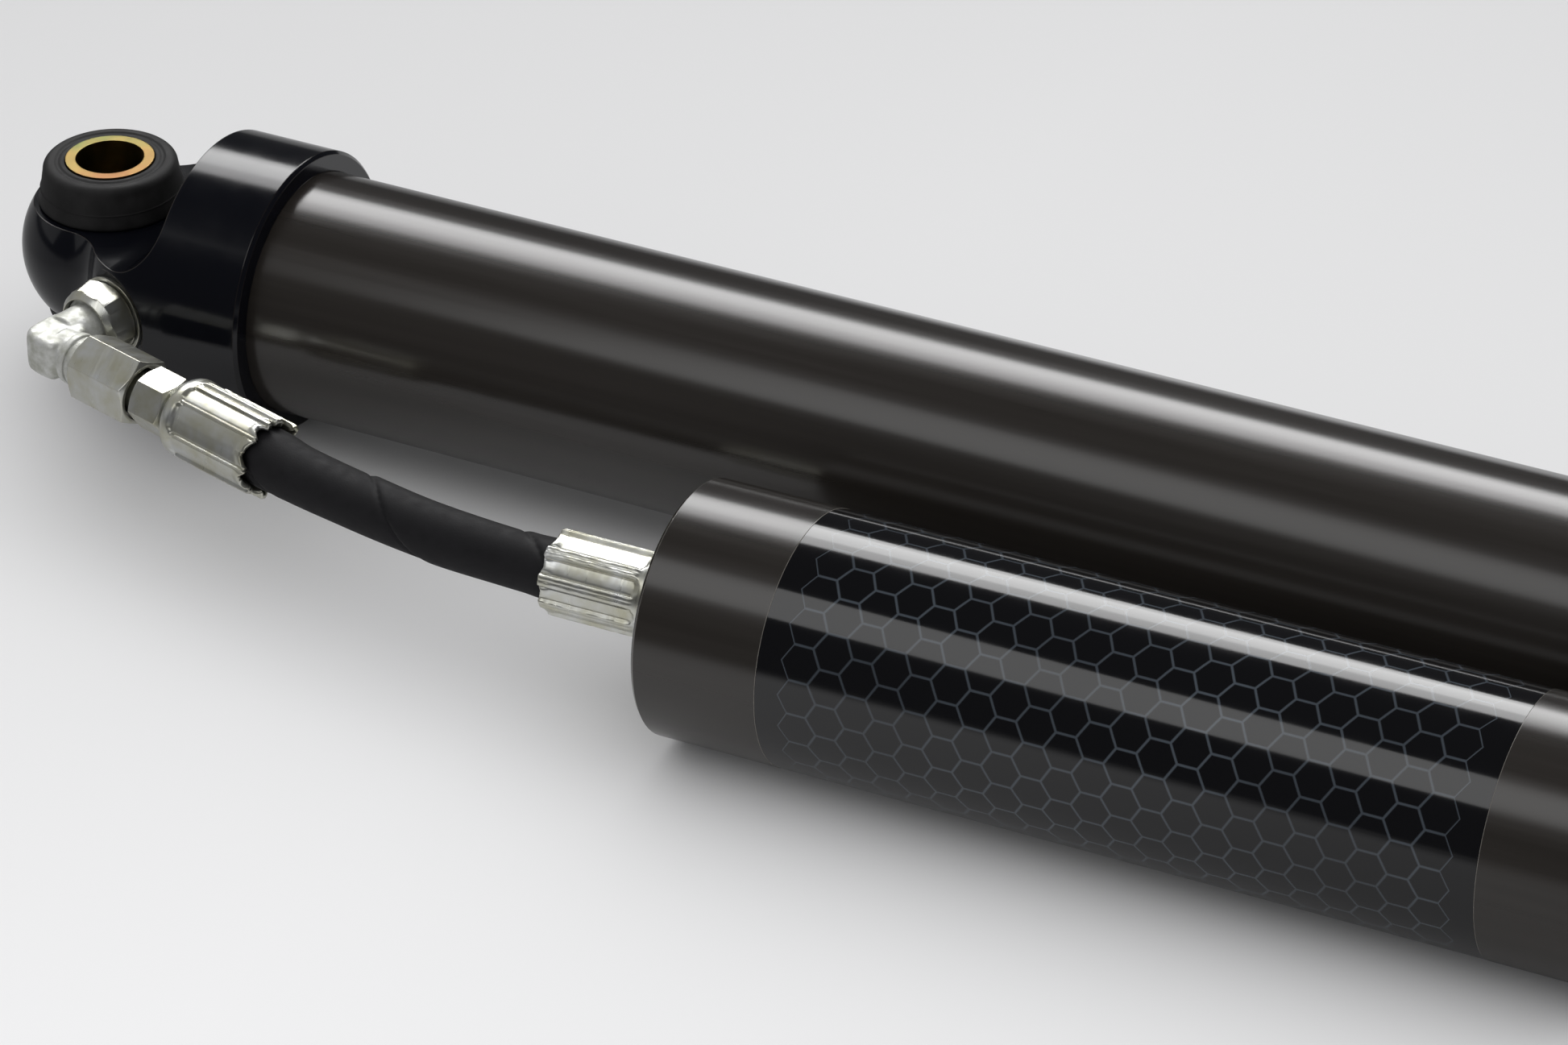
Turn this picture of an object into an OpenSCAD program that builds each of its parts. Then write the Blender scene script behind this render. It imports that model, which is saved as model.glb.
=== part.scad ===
// Remote-reservoir gas shock absorber for the rear axle of an off-road truck.
// The body lies along +X from the upper eye; the eye bore runs along +Z.
// The reservoir hangs beside the body on a short hose, on the -Y side.

/* [Upper eye and end cap] */
// Radius of the ball-shaped eye
eye_r = 22; // [20:0.5:26]
// Thickness of the eye between its milled flats
eye_t = 24; // [20:0.5:30]
// Bore of the eye, which holds the rubber bushes
eye_bore_d = 27; // [25:0.5:30]
// Distance from the eye's centre to the wall where the milled flats end
flat_end_x = 29.5; // [29:0.5:30.5]
// Hollow radius left by the cutter along that wall
flat_fillet = 12; // [9:0.5:12]
// Radius of the hollow blend from the eye to the cap's shoulder
blend_r = 13; // [9:0.5:15]
// Distance from the eye's centre to the cap's full diameter
shoulder_x = 26; // [25:0.5:30]
// Outer diameter of the end cap
cap_d = 66.6; // [64:0.2:72]
// Distance from the eye's centre to the cap's open rim
cap_rim_x = 53.2; // [50:0.2:60]
// Bevel on the outer edges of caps and collars
rim_bevel = 0.8; // [0.3:0.1:1.5]
// Depth of the tube in the cap
tube_socket = 18; // [14:0.5:20]
// Radius of the oil gallery drilled along the cap's axis
gallery_r = 4.5; // [3:0.5:5]

/* [Bushes and sleeves] */
// Length of the steel sleeve
sleeve_len = 45.5; // [40:0.5:52]
// Outer diameter of the steel sleeve
sleeve_d = 20.8; // [19:0.2:22]
// Bolt hole through the steel sleeve
sleeve_bore_d = 16; // [12:0.1:17]
// Diameter of the rubber flange against the eye
bush_flange_d = 34.6; // [32:0.2:36]
// Diameter of the rubber flange at its outer face
bush_face_d = 31.6; // [29:0.2:32]
// Edge radius of the rubber flange
bush_edge_r = 2; // [0.5:0.1:2.5]
// How far the sleeve stands out of the rubber
sleeve_proud = 0.3; // [0:0.1:1]

/* [Body tube] */
// Outer diameter of the body tube and of the reservoir tube
tube_d = 57.15; // [56:0.05:58]
// Wall of both tubes
tube_wall = 3.175; // [2.5:0.025:3.5]
// Distance from the eye's centre to the collar's outer face
body_len = 400; // [390:1:440]
// Length of the collar at the rod end
collar_len = 20; // [16:0.5:26]
// Thickness of the collar's end wall
collar_wall = 4; // [3:0.5:6]

/* [Seal head] */
// Length of the seal head inside the tube
head_len = 35; // [32:0.5:42]
// Thickness of the seal head's flange
head_flange = 4; // [3:0.5:6]
// Outer diameter of the rod bushing
rod_bushing_d = 19; // [18.5:0.1:20]
// Length of the rod bushing
rod_bushing_len = 15; // [12:0.5:16]
// Outer diameter of the rod seal
rod_seal_d = 24; // [22:0.5:26]
// Length of the rod seal
rod_seal_len = 6; // [4:0.5:7]
// Outer diameter of the wiper
wiper_d = 26; // [23:0.5:28]
// Length of the wiper
wiper_len = 6; // [4:0.5:7]

/* [Rod and piston] */
// Diameter of the chromed rod
rod_d = 15.9; // [14:0.1:17]
// Travel of the rod
stroke = 254; // [200:1:256]
// Diameter of the rod's stepped end, which carries the piston
tenon_d = 12; // [10:0.5:12.5]
// Length of the piston
piston_len = 22; // [18:0.5:24]
// Length of the wear band round the piston
band_len = 12; // [8:0.5:14]
// Thickness of the wear bands
band_t = 1.5; // [1:0.1:2]
// Number of oil ports through the piston
piston_ports = 6; // [4:1:8]
// Thickness of one shim
shim_t = 0.6; // [0.4:0.1:0.8]
// Number of shims in each stack
shim_count = 4; // [3:1:5]
// Length of the top-out spacer
spacer_len = 8; // [5:0.5:9]
// Length of the piston nut
piston_nut_len = 9; // [7:0.5:10]
// Size of the piston nut across its flats
piston_nut_af = 19; // [17:0.5:22]

/* [Rod end] */
// Length of the bump stop
bump_len = 24; // [18:0.5:34]
// Largest diameter of the bump stop
bump_d = 36; // [32:0.5:42]
// Thickness of the washer behind the bump stop
bump_washer_t = 2.5; // [2:0.25:4]
// Thickness of the jam nut
jam_nut_len = 9; // [7:0.5:12]
// Size of the jam nut across its flats
jam_nut_af = 24; // [22:0.5:28]
// Length of the lower eye's neck, up to the ball
neck_len = 8; // [6:0.5:14]
// Diameter of the lower eye's neck
neck_d = 27; // [25:0.5:30]
// Radius between the neck and the ball
neck_fillet = 6; // [4:0.5:8]
// Distance from the lower eye's centre to the wall where its flats end
lower_flat_end_x = 22; // [21.5:0.5:26]
// Hollow radius left by the cutter along that wall
lower_flat_fillet = 4; // [2:0.5:4]

/* [Hose port and elbow] */
// Distance along the body from the eye's centre to the port's face
port_x = 17.6; // [16:0.2:20]
// Distance from the body's axis to the port's face
port_y = 29; // [28:0.2:31]
// Diameter of the spot face round the port
spot_d = 22.4; // [20:0.2:24]
// Diameter of the port's thread
port_d = 14.2; // [13:0.1:14.6]
// Angle of the elbow's outlet away from the body
outlet_angle = 13.7; // [12:0.1:16]
// Length of the elbow's arm from the port's face to its bend
port_arm = 19; // [18:0.5:24]
// Width of the elbow's forged block
elbow_w = 14; // [12:0.5:15]
// Thickness of the elbow's forged block
elbow_t = 12.4; // [11:0.1:13.5]
// Corner radius at the heel of the elbow's forged block
elbow_heel = 6.5; // [4:0.5:6.5]
// Corner radius of the block's other edges
elbow_edge = 2.5; // [1.5:0.5:3]
// Length of the elbow's thread inside the port
stud_len = 9; // [7:0.5:10]
// Thickness of the lock nut
lock_nut_len = 6.4; // [5:0.2:7]
// Size of the lock nut across its flats
lock_nut_af = 17.5; // [17:0.5:19]
// Thickness of the washer under the lock nut
port_washer_t = 1; // [0.8:0.1:1.5]

/* [Hose fittings] */
// Diameter of the threads under the swivel nut and in the reservoir's cap
thread_d = 11; // [10:0.5:11.5]
// Distance from the elbow's bend to the end of its thread
thread_end = 21; // [20:0.5:22]
// Length of the cone in front of that thread
cone_len = 2.6; // [2:0.1:3]
// Length of the reservoir stem's thread
stem_thread_len = 10; // [8:0.5:12]
// Distance from the elbow's bend to the swivel nut
nut_start = 11; // [10.5:0.1:13]
// Length of the swivel nut
nut_len = 19; // [17:0.5:22]
// Size of the swivel nut across its flats
nut_af = 14.5; // [14:0.1:17]
// Gap between the swivel nut and the stem's hexagon
nut_gap = 1.3; // [0.8:0.1:2]
// Length of the first stem's hexagon
stem_hex_len = 9.4; // [8:0.2:12]
// Size of the stems' hexagons across their flats
stem_hex_af = 13.3; // [12.8:0.1:14.4]
// Gap between the stem's hexagon and the ferrule
ferrule_gap = 1.6; // [1:0.1:2.4]
// Thickness of the ferrule's end wall
ferrule_wall = 3.4; // [2.5:0.1:4]
// Diameter of the hole through the ferrule's end wall
ferrule_hole_d = 10.1; // [9.5:0.1:10.6]
// Length of a crimped ferrule
ferrule_len = 28; // [24:0.5:32]
// Diameter over the ridges of a crimped ferrule
ferrule_d = 19.8; // [19:0.1:21]
// Height of the ridges between the crimps
ridge_h = 0.55; // [0.3:0.05:0.8]
// Number of crimps round a ferrule
crimps = 8; // [6:1:8]
// Outer diameter of the hose
hose_d = 13.3; // [12.5:0.1:14]
// Bore of the hose
hose_bore_d = 6.4; // [5.8:0.1:7]
// Oil way drilled through the stems
oil_d = 4.4; // [3.8:0.1:4.6]
// Bend radius of the hose
hose_bend_r = 300; // [200:5:320]

/* [Reservoir] */
// Sideways distance from the body's axis to the reservoir's, level with the eye
res_side = 76.1; // [74:0.1:84]
// Angle between the reservoir and the body
res_yaw = 0.75; // [0:0.05:1.5]
// Distance from the eye's centre to the reservoir's near end
res_start = 192.1; // [188:0.1:230]
// Length of the reservoir tube
res_len = 220.6; // [200:0.2:260]
// Depth of the end caps in the tube
res_recess = 4; // [3.6:0.1:6]
// Thickness of the end caps
res_cap_t = 18; // [14:0.5:22]
// Thickness of the snap rings
snap_t = 1.8; // [1.4:0.1:2]
// Distance from the ferrule's end to the reservoir's near end
res_stand_off = 4.6; // [3:0.1:8]
// Bare length of tube before the label
label_margin = 29.6; // [20:0.2:40]
// Thickness of the label
label_t = 0.25; // [0.1:0.05:0.5]
// Depth of the shallow pocket turned for the label
label_pocket = 0.35; // [0.3:0.05:0.6]
// Length of the floating piston
float_len = 22; // [16:0.5:26]
// Distance from the end cap to the floating piston with the rod out
float_rest = 30; // [20:1:60]
// Diameter of the gas valve's stem
valve_d = 7.8; // [7:0.1:8.2]
// Length of the gas valve outside the end cap
valve_len = 12; // [10:0.5:16]
// Diameter of the valve's dust cap
valve_cap_d = 9.6; // [9:0.1:11]

/* [Fits] */
// Radial clearance of sliding and running fits
run_fit = 0.05; // [0.03:0.01:0.08]
// Radial clearance between fixed pieces
seat_fit = 0.05; // [0.03:0.01:0.08]
// Clearance of pieces that stop just short of each other
stop_gap = 0.3; // [0.2:0.05:0.4]
// Thickness of the O-rings
ring_t = 2.6; // [2:0.1:3]

/* [Hidden] */
$fn = 64;

// Radii
cap_r = cap_d / 2;
tube_r = tube_d / 2;
bore_r = tube_r - tube_wall;
rod_r = rod_d / 2;
sleeve_r = sleeve_d / 2;
eye_bore_r = eye_bore_d / 2;
hose_r = hose_d / 2;
ferrule_r = ferrule_d / 2;
port_r = port_d / 2;
tenon_r = tenon_d / 2;
thread_r = thread_d / 2;
oil_r = oil_d / 2;
over = 1;            // how far a cutter runs past the surface it cuts
arc_lap = 0.004;     // lap between two arcs that would only touch
groove_half = ring_t * 0.65;    // half the width of an O-ring's groove

// Eye-to-cap blend: two arcs that meet at the same slope
blend_rise = cap_r - eye_r;
blend_turn = 2 * atan(blend_rise / shoulder_x);
shoulder_r = shoulder_x / sin(blend_turn) - blend_r;
blend_x = blend_r * sin(blend_turn);

// Stations along the body
tube_x0 = cap_rim_x - tube_socket;
head_x1 = body_len - collar_wall;
tube_x1 = head_x1 - head_flange;
head_x0 = tube_x1 - head_len;
chamber_x0 = tube_x0 - 1.2;
chamber_r = bore_r - 5;

// Stations along the piston assembly, from the seal head back
spacer_x1 = head_x0 - stop_gap;
spacer_x0 = spacer_x1 - spacer_len;
stack_len = shim_count * shim_t;
piston_x1 = spacer_x0 - stack_len;
piston_x0 = piston_x1 - piston_len;
piston_nut_x1 = piston_x0 - stack_len;
piston_nut_x0 = piston_nut_x1 - piston_nut_len;
tenon_x0 = piston_nut_x0 - 2;
piston_r = bore_r - 0.4;

// Stations along the rod end
bump_x0 = body_len + stroke + stop_gap * 2;
bump_x1 = bump_x0 + bump_len;
jam_x0 = bump_x1 + bump_washer_t;
neck_x0 = jam_x0 + jam_nut_len;
lower_x = neck_x0 + neck_len + eye_r;
eye_wall = 3;        // wall between the rod's thread and the eye's bore
rod_x1 = lower_x - eye_bore_r - eye_wall;

// Lower eye: fillet between the ball and its neck
neck_r = neck_d / 2;
fillet_r0 = neck_r + neck_fillet;
fillet_x = sqrt(pow(eye_r + neck_fillet, 2) - pow(fillet_r0, 2));

// Reservoir frame: the tube lies on the same floor as the end cap
res_r = tube_r;
res_z = -(cap_r - res_r);
res_end = res_start + res_len;
label_r = res_r - label_pocket + seat_fit;
label_x0 = res_start + label_margin;
label_x1 = res_end - label_margin;
hose_cap_x0 = res_start + res_recess;
hose_cap_x1 = hose_cap_x0 + res_cap_t;
valve_cap_x1 = res_end - res_recess;
valve_cap_x0 = valve_cap_x1 - res_cap_t;
float_x0 = hose_cap_x1 + float_rest;

// Elbow frame: the outlet points at the reservoir's axis
elbow_x = port_x - port_arm * sin(outlet_angle);
elbow_y = -port_y - port_arm * cos(outlet_angle);
reach = ((elbow_y + res_side) * cos(res_yaw) - elbow_x * sin(res_yaw))
        / sin(outlet_angle + res_yaw);
outlet_drop = atan(-res_z / reach);
outlet_reach = sqrt(pow(reach, 2) + pow(res_z, 2));

// Where the outlet's axis meets the reservoir's axis
meet_x = elbow_x + reach * cos(outlet_angle);
meet_y = elbow_y - reach * sin(outlet_angle);
meet_run = (elbow_x - meet_x) * cos(res_yaw) + (elbow_y - meet_y) * sin(res_yaw);
meet_side = (elbow_y - meet_y) * cos(res_yaw) - (elbow_x - meet_x) * sin(res_yaw);
hose_roll = atan2(-res_z, meet_side);
hose_turn = acos(-meet_run / outlet_reach);
hose_tangent = hose_bend_r * tan(hose_turn / 2);
meet_res = meet_x * cos(res_yaw) + (meet_y + res_side) * sin(res_yaw);

// Stations along the elbow's outlet
tail_short = 3;      // how far a stem's tail stops inside the ferrule's mouth
cone_end = thread_end + cone_len;
nut_end = nut_start + nut_len;
hex_start = nut_end + nut_gap;
hex_end = hex_start + stem_hex_len;
ferrule_start = hex_end + ferrule_gap;
ferrule_hole = ferrule_hole_d / 2;
hose_start = ferrule_start + ferrule_wall;
stem_r = ferrule_hole - seat_fit;
tail_r = hose_bore_d / 2 - seat_fit;
neck_bore_r = stem_r - stop_gap;
tail_len = ferrule_len - ferrule_wall - tail_short;

// Stations along the reservoir's axis
res_ferrule_end = res_start - res_stand_off;
hose_end = res_ferrule_end - ferrule_wall;
res_hex_start = res_ferrule_end + 1;
hex_bevel = 0.7;

// Turned shape about the X axis, from a profile of [radius, x]
module turned() {
    rotate([0, 90, 0])
        rotate_extrude() children();
}

// Ring or disc about the X axis
module ring_x(x0, x1, outer, inner = 0) {
    translate([x0, 0, 0]) rotate([0, 90, 0]) difference() {
        cylinder(h = x1 - x0, r = outer);
        if (inner > 0) translate([0, 0, -over])
            cylinder(h = x1 - x0 + 2 * over, r = inner);
    }
}

// O-ring about the X axis, centred at x
module o_ring(x, r, t) {
    translate([x, 0, 0]) rotate([0, 90, 0])
        rotate_extrude() translate([r, 0]) circle(r = t / 2, $fn = 32);
}

// Hexagon bar along X with its corners turned down at both ends
module hex_x(x0, x1, af, bevel, spin = 0) {
    corner = af / sqrt(3);
    rise = (bevel + over) * 0.6;
    intersection() {
        translate([x0, 0, 0]) rotate([spin, 0, 0]) rotate([0, 90, 0])
            cylinder(h = x1 - x0, r = corner, $fn = 6);
        turned() polygon([[0, x0], [corner - bevel, x0], [corner + over, x0 + rise],
                          [corner + over, x1 - rise], [corner - bevel, x1], [0, x1]]);
    }
}

// Cylinder with both outer edges bevelled, as a profile of [radius, x]
module bevelled_profile(x0, x1, r, bevel) {
    polygon([[0, x0], [r - bevel, x0], [r, x0 + bevel],
             [r, x1 - bevel], [r - bevel, x1], [0, x1]]);
}

// Frame of the elbow: +X out of the outlet, +Y into the port
module elbow_frame() {
    translate([elbow_x, elbow_y, 0]) rotate([0, outlet_drop, -outlet_angle]) children();
}

// Frame of the reservoir: +X along its axis
module reservoir_frame() {
    translate([0, -res_side, res_z]) rotate([0, 0, res_yaw]) children();
}

// Frame of the hose's bend, in the plane of the outlet and the reservoir's axis
module bend_frame() {
    reservoir_frame() translate([meet_res, 0, 0]) rotate([hose_roll, 0, 0]) children();
}

// Milled flats of an eye, cut above and below, open towards -X
module eye_flats(end_x, fillet) {
    for (side = [0, 1]) mirror([0, 0, side])
        translate([0, cap_r + over, 0]) rotate([90, 0, 0])
            linear_extrude(height = 2 * (cap_r + over)) difference() {
                translate([-eye_r - over, eye_t / 2])
                    square([end_x + eye_r + over, cap_r]);
                translate([end_x - fillet, eye_t / 2]) difference() {
                    square([fillet + over, fillet]);
                    translate([0, fillet]) circle(r = fillet);
                    translate([fillet, 0]) square([2 * over, fillet]);
                }
            }
}

// Ball, hollow blend, rounded shoulder and barrel of the cap, turned in one piece
module upper_eye_cap_form() {
    turned() difference() {
        union() {
            intersection() {
                circle(r = eye_r);
                translate([0, -eye_r - over]) square([eye_r + over, 2 * (eye_r + over)]);
            }
            polygon([[0, 0], [cap_r, 0], [cap_r, cap_rim_x - rim_bevel],
                     [cap_r - rim_bevel, cap_rim_x], [0, cap_rim_x]]);
        }
        translate([eye_r + blend_r, 0]) circle(r = blend_r + arc_lap);
        difference() {
            translate([eye_r, blend_x]) square([blend_rise + over, shoulder_x - blend_x]);
            translate([cap_r - shoulder_r, shoulder_x]) circle(r = shoulder_r + arc_lap);
        }
    }
}

module upper_eye_cap() {
    color("#17181d") difference() {
        upper_eye_cap_form();
        eye_flats(flat_end_x, flat_fillet);
        translate([0, 0, -eye_t]) cylinder(h = 2 * eye_t, r = eye_bore_r);
        ring_x(tube_x0, cap_rim_x + over, tube_r + seat_fit);
        ring_x(chamber_x0, tube_x0 + over, chamber_r);
        ring_x(shoulder_x - gallery_r, chamber_x0 + over, gallery_r);
        ring_x(cap_o_ring_x - groove_half, cap_o_ring_x + groove_half,
               tube_r + seat_fit + ring_t);
        elbow_frame() rotate([-90, 0, 0]) {
            translate([0, 0, port_arm - cap_r]) cylinder(h = cap_r, r = spot_d / 2);
            cylinder(h = -elbow_y / cos(outlet_angle), r = port_r + seat_fit);
            translate([0, 0, port_arm - over])
                cylinder(h = over + ring_t, r = port_r + seat_fit + ring_t * 0.6);
        }
    }
}

// O-ring between the cap and the tube
cap_o_ring_x = tube_x0 + tube_socket * 0.35;
module cap_o_ring() {
    color("#111111") o_ring(cap_o_ring_x, tube_r + seat_fit + ring_t / 2, ring_t - seat_fit);
}

// Two rubber halves pressed into an eye from both sides
module bush_pair() {
    flange_z = eye_t / 2;
    face_z = sleeve_len / 2 - sleeve_proud;
    edge_x = bush_face_d / 2 - bush_edge_r;
    edge_z = face_z - bush_edge_r;
    for (side = [0, 1]) mirror([0, 0, side]) difference() {
        union() {
            translate([0, 0, stop_gap / 2])
                cylinder(h = flange_z + over, r = eye_bore_r - seat_fit);
            rotate_extrude() union() {
                polygon([[0, flange_z], [bush_flange_d / 2, flange_z],
                         [edge_x + bush_edge_r, edge_z], [edge_x, edge_z],
                         [edge_x, face_z], [0, face_z]]);
                translate([edge_x, edge_z]) circle(r = bush_edge_r, $fn = 32);
            }
        }
        cylinder(h = sleeve_len, r = sleeve_r + run_fit);
    }
}

module sleeve() {
    difference() {
        translate([0, 0, -sleeve_len / 2]) cylinder(h = sleeve_len, r = sleeve_r);
        translate([0, 0, -sleeve_len]) cylinder(h = 2 * sleeve_len, r = sleeve_bore_d / 2);
    }
}

module upper_bushes() { color("#222224") bush_pair(); }

module upper_sleeve() { color("#c9a24b") sleeve(); }

module body_tube() {
    color("#3a3634") ring_x(tube_x0, tube_x1, tube_r, bore_r);
}

// Collar screwed over the tube's end, which holds the seal head down
module end_collar() {
    color("#17181d") difference() {
        turned() bevelled_profile(body_len - collar_len, body_len, cap_r, rim_bevel);
        ring_x(body_len - collar_len - over, head_x1, tube_r + seat_fit);
        ring_x(head_x1 - over, body_len + over, wiper_d / 2 + over);
    }
}

// Stations inside the seal head, from its oil side outwards
bushing_x0 = head_x0 + 2;
seal_x0 = bushing_x0 + rod_bushing_len + 2;
wiper_x0 = head_x1 - wiper_len;
head_o_ring_x = tube_x1 - 8;

module seal_head() {
    color("#8d9095") difference() {
        union() {
            ring_x(head_x0, tube_x1, bore_r - seat_fit);
            ring_x(tube_x1, head_x1, tube_r);
        }
        ring_x(head_x0 - over, head_x1 + over, rod_r + stop_gap);
        ring_x(bushing_x0, seal_x0, rod_bushing_d / 2);
        ring_x(seal_x0, seal_x0 + rod_seal_len, rod_seal_d / 2);
        ring_x(wiper_x0, head_x1 + over, wiper_d / 2);
        difference() {
            ring_x(head_o_ring_x - groove_half, head_o_ring_x + groove_half, bore_r);
            ring_x(head_o_ring_x - ring_t, head_o_ring_x + ring_t, bore_r - seat_fit - ring_t);
        }
    }
}

module head_o_ring() {
    color("#111111")
        o_ring(head_o_ring_x, bore_r - seat_fit - ring_t / 2, ring_t - seat_fit);
}

module rod_bushing() {
    color("#b08a4a") ring_x(bushing_x0, bushing_x0 + rod_bushing_len,
                            rod_bushing_d / 2 - seat_fit, rod_r + run_fit);
}

// Lip seal with a groove on its oil side
module rod_seal() {
    color("#1d1d1f") difference() {
        ring_x(seal_x0 + seat_fit, seal_x0 + rod_seal_len - seat_fit,
               rod_seal_d / 2 - seat_fit, rod_r + run_fit);
        ring_x(seal_x0, seal_x0 + rod_seal_len / 2,
               (rod_seal_d / 2 + rod_r) / 2 + 0.7, (rod_seal_d / 2 + rod_r) / 2 - 0.7);
    }
}

// Scraper with a lip that leans on the rod outside the collar
module rod_wiper() {
    color("#1d1d1f") turned() polygon([
        [rod_r + run_fit, wiper_x0], [wiper_d / 2 - seat_fit, wiper_x0],
        [wiper_d / 2 - seat_fit, head_x1], [rod_r + 3, head_x1],
        [rod_r + 1.2, head_x1 + collar_wall * 0.7],
        [rod_r + run_fit, head_x1 + collar_wall * 0.7]]);
}

module rod() {
    color("#c9ccd0") {
        ring_x(spacer_x0, jam_x0, rod_r);
        ring_x(tenon_x0, spacer_x0, tenon_r - seat_fit);
        ring_x(jam_x0, rod_x1, tenon_r);
    }
}

module piston() {
    port_pitch = (piston_r + tenon_r) / 2;
    color("#a5a8ac") difference() {
        turned() bevelled_profile(piston_x0, piston_x1, piston_r, rim_bevel);
        ring_x(piston_x0 - over, piston_x1 + over, tenon_r);
        difference() {
            ring_x(band_x0, band_x0 + band_len, bore_r);
            ring_x(band_x0 - over, band_x0 + band_len + over, bore_r - run_fit - band_t);
        }
        for (i = [0 : piston_ports - 1]) rotate([i * 360 / piston_ports, 0, 0])
            translate([piston_x0 - over, port_pitch, 0]) rotate([0, 90, 0])
                cylinder(h = piston_len + 2 * over, r = 2.5);
    }
}

band_x0 = piston_x0 + (piston_len - band_len) / 2;
module piston_band() {
    color("#6b4a32") ring_x(band_x0 + seat_fit, band_x0 + band_len - seat_fit,
                            bore_r - run_fit, bore_r - run_fit - band_t + seat_fit);
}

// Stack of spring-steel discs that step down in size away from the piston
module shim_stack(x0, step) {
    for (i = [0 : shim_count - 1])
        ring_x(x0 + i * step - (step < 0 ? shim_t : 0), x0 + i * step + (step < 0 ? 0 : shim_t),
               piston_r - 2 - 2.5 * i, tenon_r);
}

module compression_shims() { color("#77797d") shim_stack(piston_x0, -shim_t); }

module rebound_shims() { color("#77797d") shim_stack(piston_x1, shim_t); }

module piston_nut() {
    color("#8f9296") difference() {
        hex_x(piston_nut_x0, piston_nut_x1, piston_nut_af, 1);
        ring_x(piston_nut_x0 - over, piston_nut_x1 + over, tenon_r);
    }
}

module top_out_spacer() {
    color("#8d9095") difference() {
        turned() bevelled_profile(spacer_x0, spacer_x1, rod_r + 5, rim_bevel);
        ring_x(spacer_x0 - over, spacer_x1 + over, rod_r + seat_fit);
    }
}

// Rubber buffer with a waist and a soft nose
module bump_stop() {
    bump_r = bump_d / 2;
    waist = bump_len / 5;
    color("#1b1b1c") difference() {
        turned() difference() {
            polygon([[0, bump_x0], [bump_r * 0.68, bump_x0], [bump_r * 0.82, bump_x0 + 2],
                     [bump_r, bump_x1 - waist], [bump_r, bump_x1 - 1], [bump_r - 1, bump_x1],
                     [0, bump_x1]]);
            translate([bump_r + waist / 3, (bump_x0 + bump_x1) / 2]) circle(r = waist);
        }
        ring_x(bump_x0 - over, bump_x1 + over, rod_r + seat_fit);
    }
}

module bump_washer() {
    color("#8f9296") difference() {
        turned() bevelled_profile(bump_x1, jam_x0, bump_d / 2 + 1, rim_bevel / 2);
        ring_x(bump_x1 - over, jam_x0 + over, rod_r + seat_fit);
    }
}

module jam_nut() {
    color("#8f9296") difference() {
        hex_x(jam_x0, neck_x0, jam_nut_af, 1.4);
        ring_x(jam_x0 - over, neck_x0 + over, tenon_r + seat_fit);
    }
}

module lower_eye() {
    color("#17181d") translate([lower_x, 0, 0]) difference() {
        turned() {
            intersection() {
                circle(r = eye_r);
                translate([0, -eye_r]) square([eye_r, 2 * eye_r]);
            }
            difference() {
                translate([0, -fillet_x]) square([fillet_r0, fillet_x]);
                translate([fillet_r0, -fillet_x]) circle(r = neck_fillet);
                translate([0, -fillet_x * eye_r / (eye_r + neck_fillet)])
                    translate([fillet_r0 * eye_r / (eye_r + neck_fillet), 0])
                        square([eye_r, eye_r + fillet_x]);
            }
            translate([0, neck_x0 - lower_x]) polygon([
                [0, 0], [neck_r - rim_bevel, 0], [neck_r, rim_bevel],
                [neck_r, neck_len + eye_r], [0, neck_len + eye_r]]);
        }
        mirror([1, 0, 0]) eye_flats(lower_flat_end_x, lower_flat_fillet);
        translate([0, 0, -eye_t]) cylinder(h = 2 * eye_t, r = eye_bore_r);
        ring_x(neck_x0 - lower_x - over, rod_x1 - lower_x + over, tenon_r + seat_fit);
    }
}

module lower_bushes() {
    color("#222224") translate([lower_x, 0, 0]) bush_pair();
}

module lower_sleeve() { color("#c9a24b") translate([lower_x, 0, 0]) sleeve(); }

// Stations along the elbow's port arm, measured from its bend
port_face = port_arm;
washer_y0 = port_face - port_washer_t;
lock_y0 = washer_y0 - lock_nut_len;
stud_end = port_face + stud_len;
hole_r = oil_r + stop_gap;

// Turns a shape made along X into one along the port's +Y
module along_port() {
    rotate([0, 0, 90]) children();
}

module port_o_ring() {
    color("#111111") elbow_frame() along_port()
        o_ring(port_face + ring_t / 2, port_r + seat_fit * 2 + ring_t / 4, ring_t * 0.5);
}

module port_washer() {
    color("#c8c9c0") elbow_frame() along_port()
        ring_x(washer_y0, port_face, lock_nut_af / 2 + 0.7, port_r + seat_fit);
}

module lock_nut() {
    color("#c8c9c0") elbow_frame() along_port() difference() {
        hex_x(lock_y0, washer_y0, lock_nut_af, 1.4);
        ring_x(lock_y0 - over, washer_y0 + over, port_r + seat_fit);
    }
}

// Rectangle with round corners
module round_rect(w, h, r) {
    square([w - 2 * r, h], center = true);
    square([w, h - 2 * r], center = true);
    for (sx = [-1, 1], sy = [-1, 1])
        translate([sx * (w / 2 - r), sy * (h / 2 - r)]) circle(r = r, $fn = 32);
}

// The forged block from above, with a rounder corner at its heel
module heel_plan() {
    half = elbow_w / 2;
    intersection() {
        round_rect(elbow_w, elbow_w, elbow_edge);
        translate([elbow_heel - half, elbow_heel - half]) union() {
            circle(r = elbow_heel);
            translate([0, -elbow_w]) square([elbow_w, 2 * elbow_w]);
            translate([-elbow_w, 0]) square([2 * elbow_w, elbow_w]);
        }
    }
}

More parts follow.
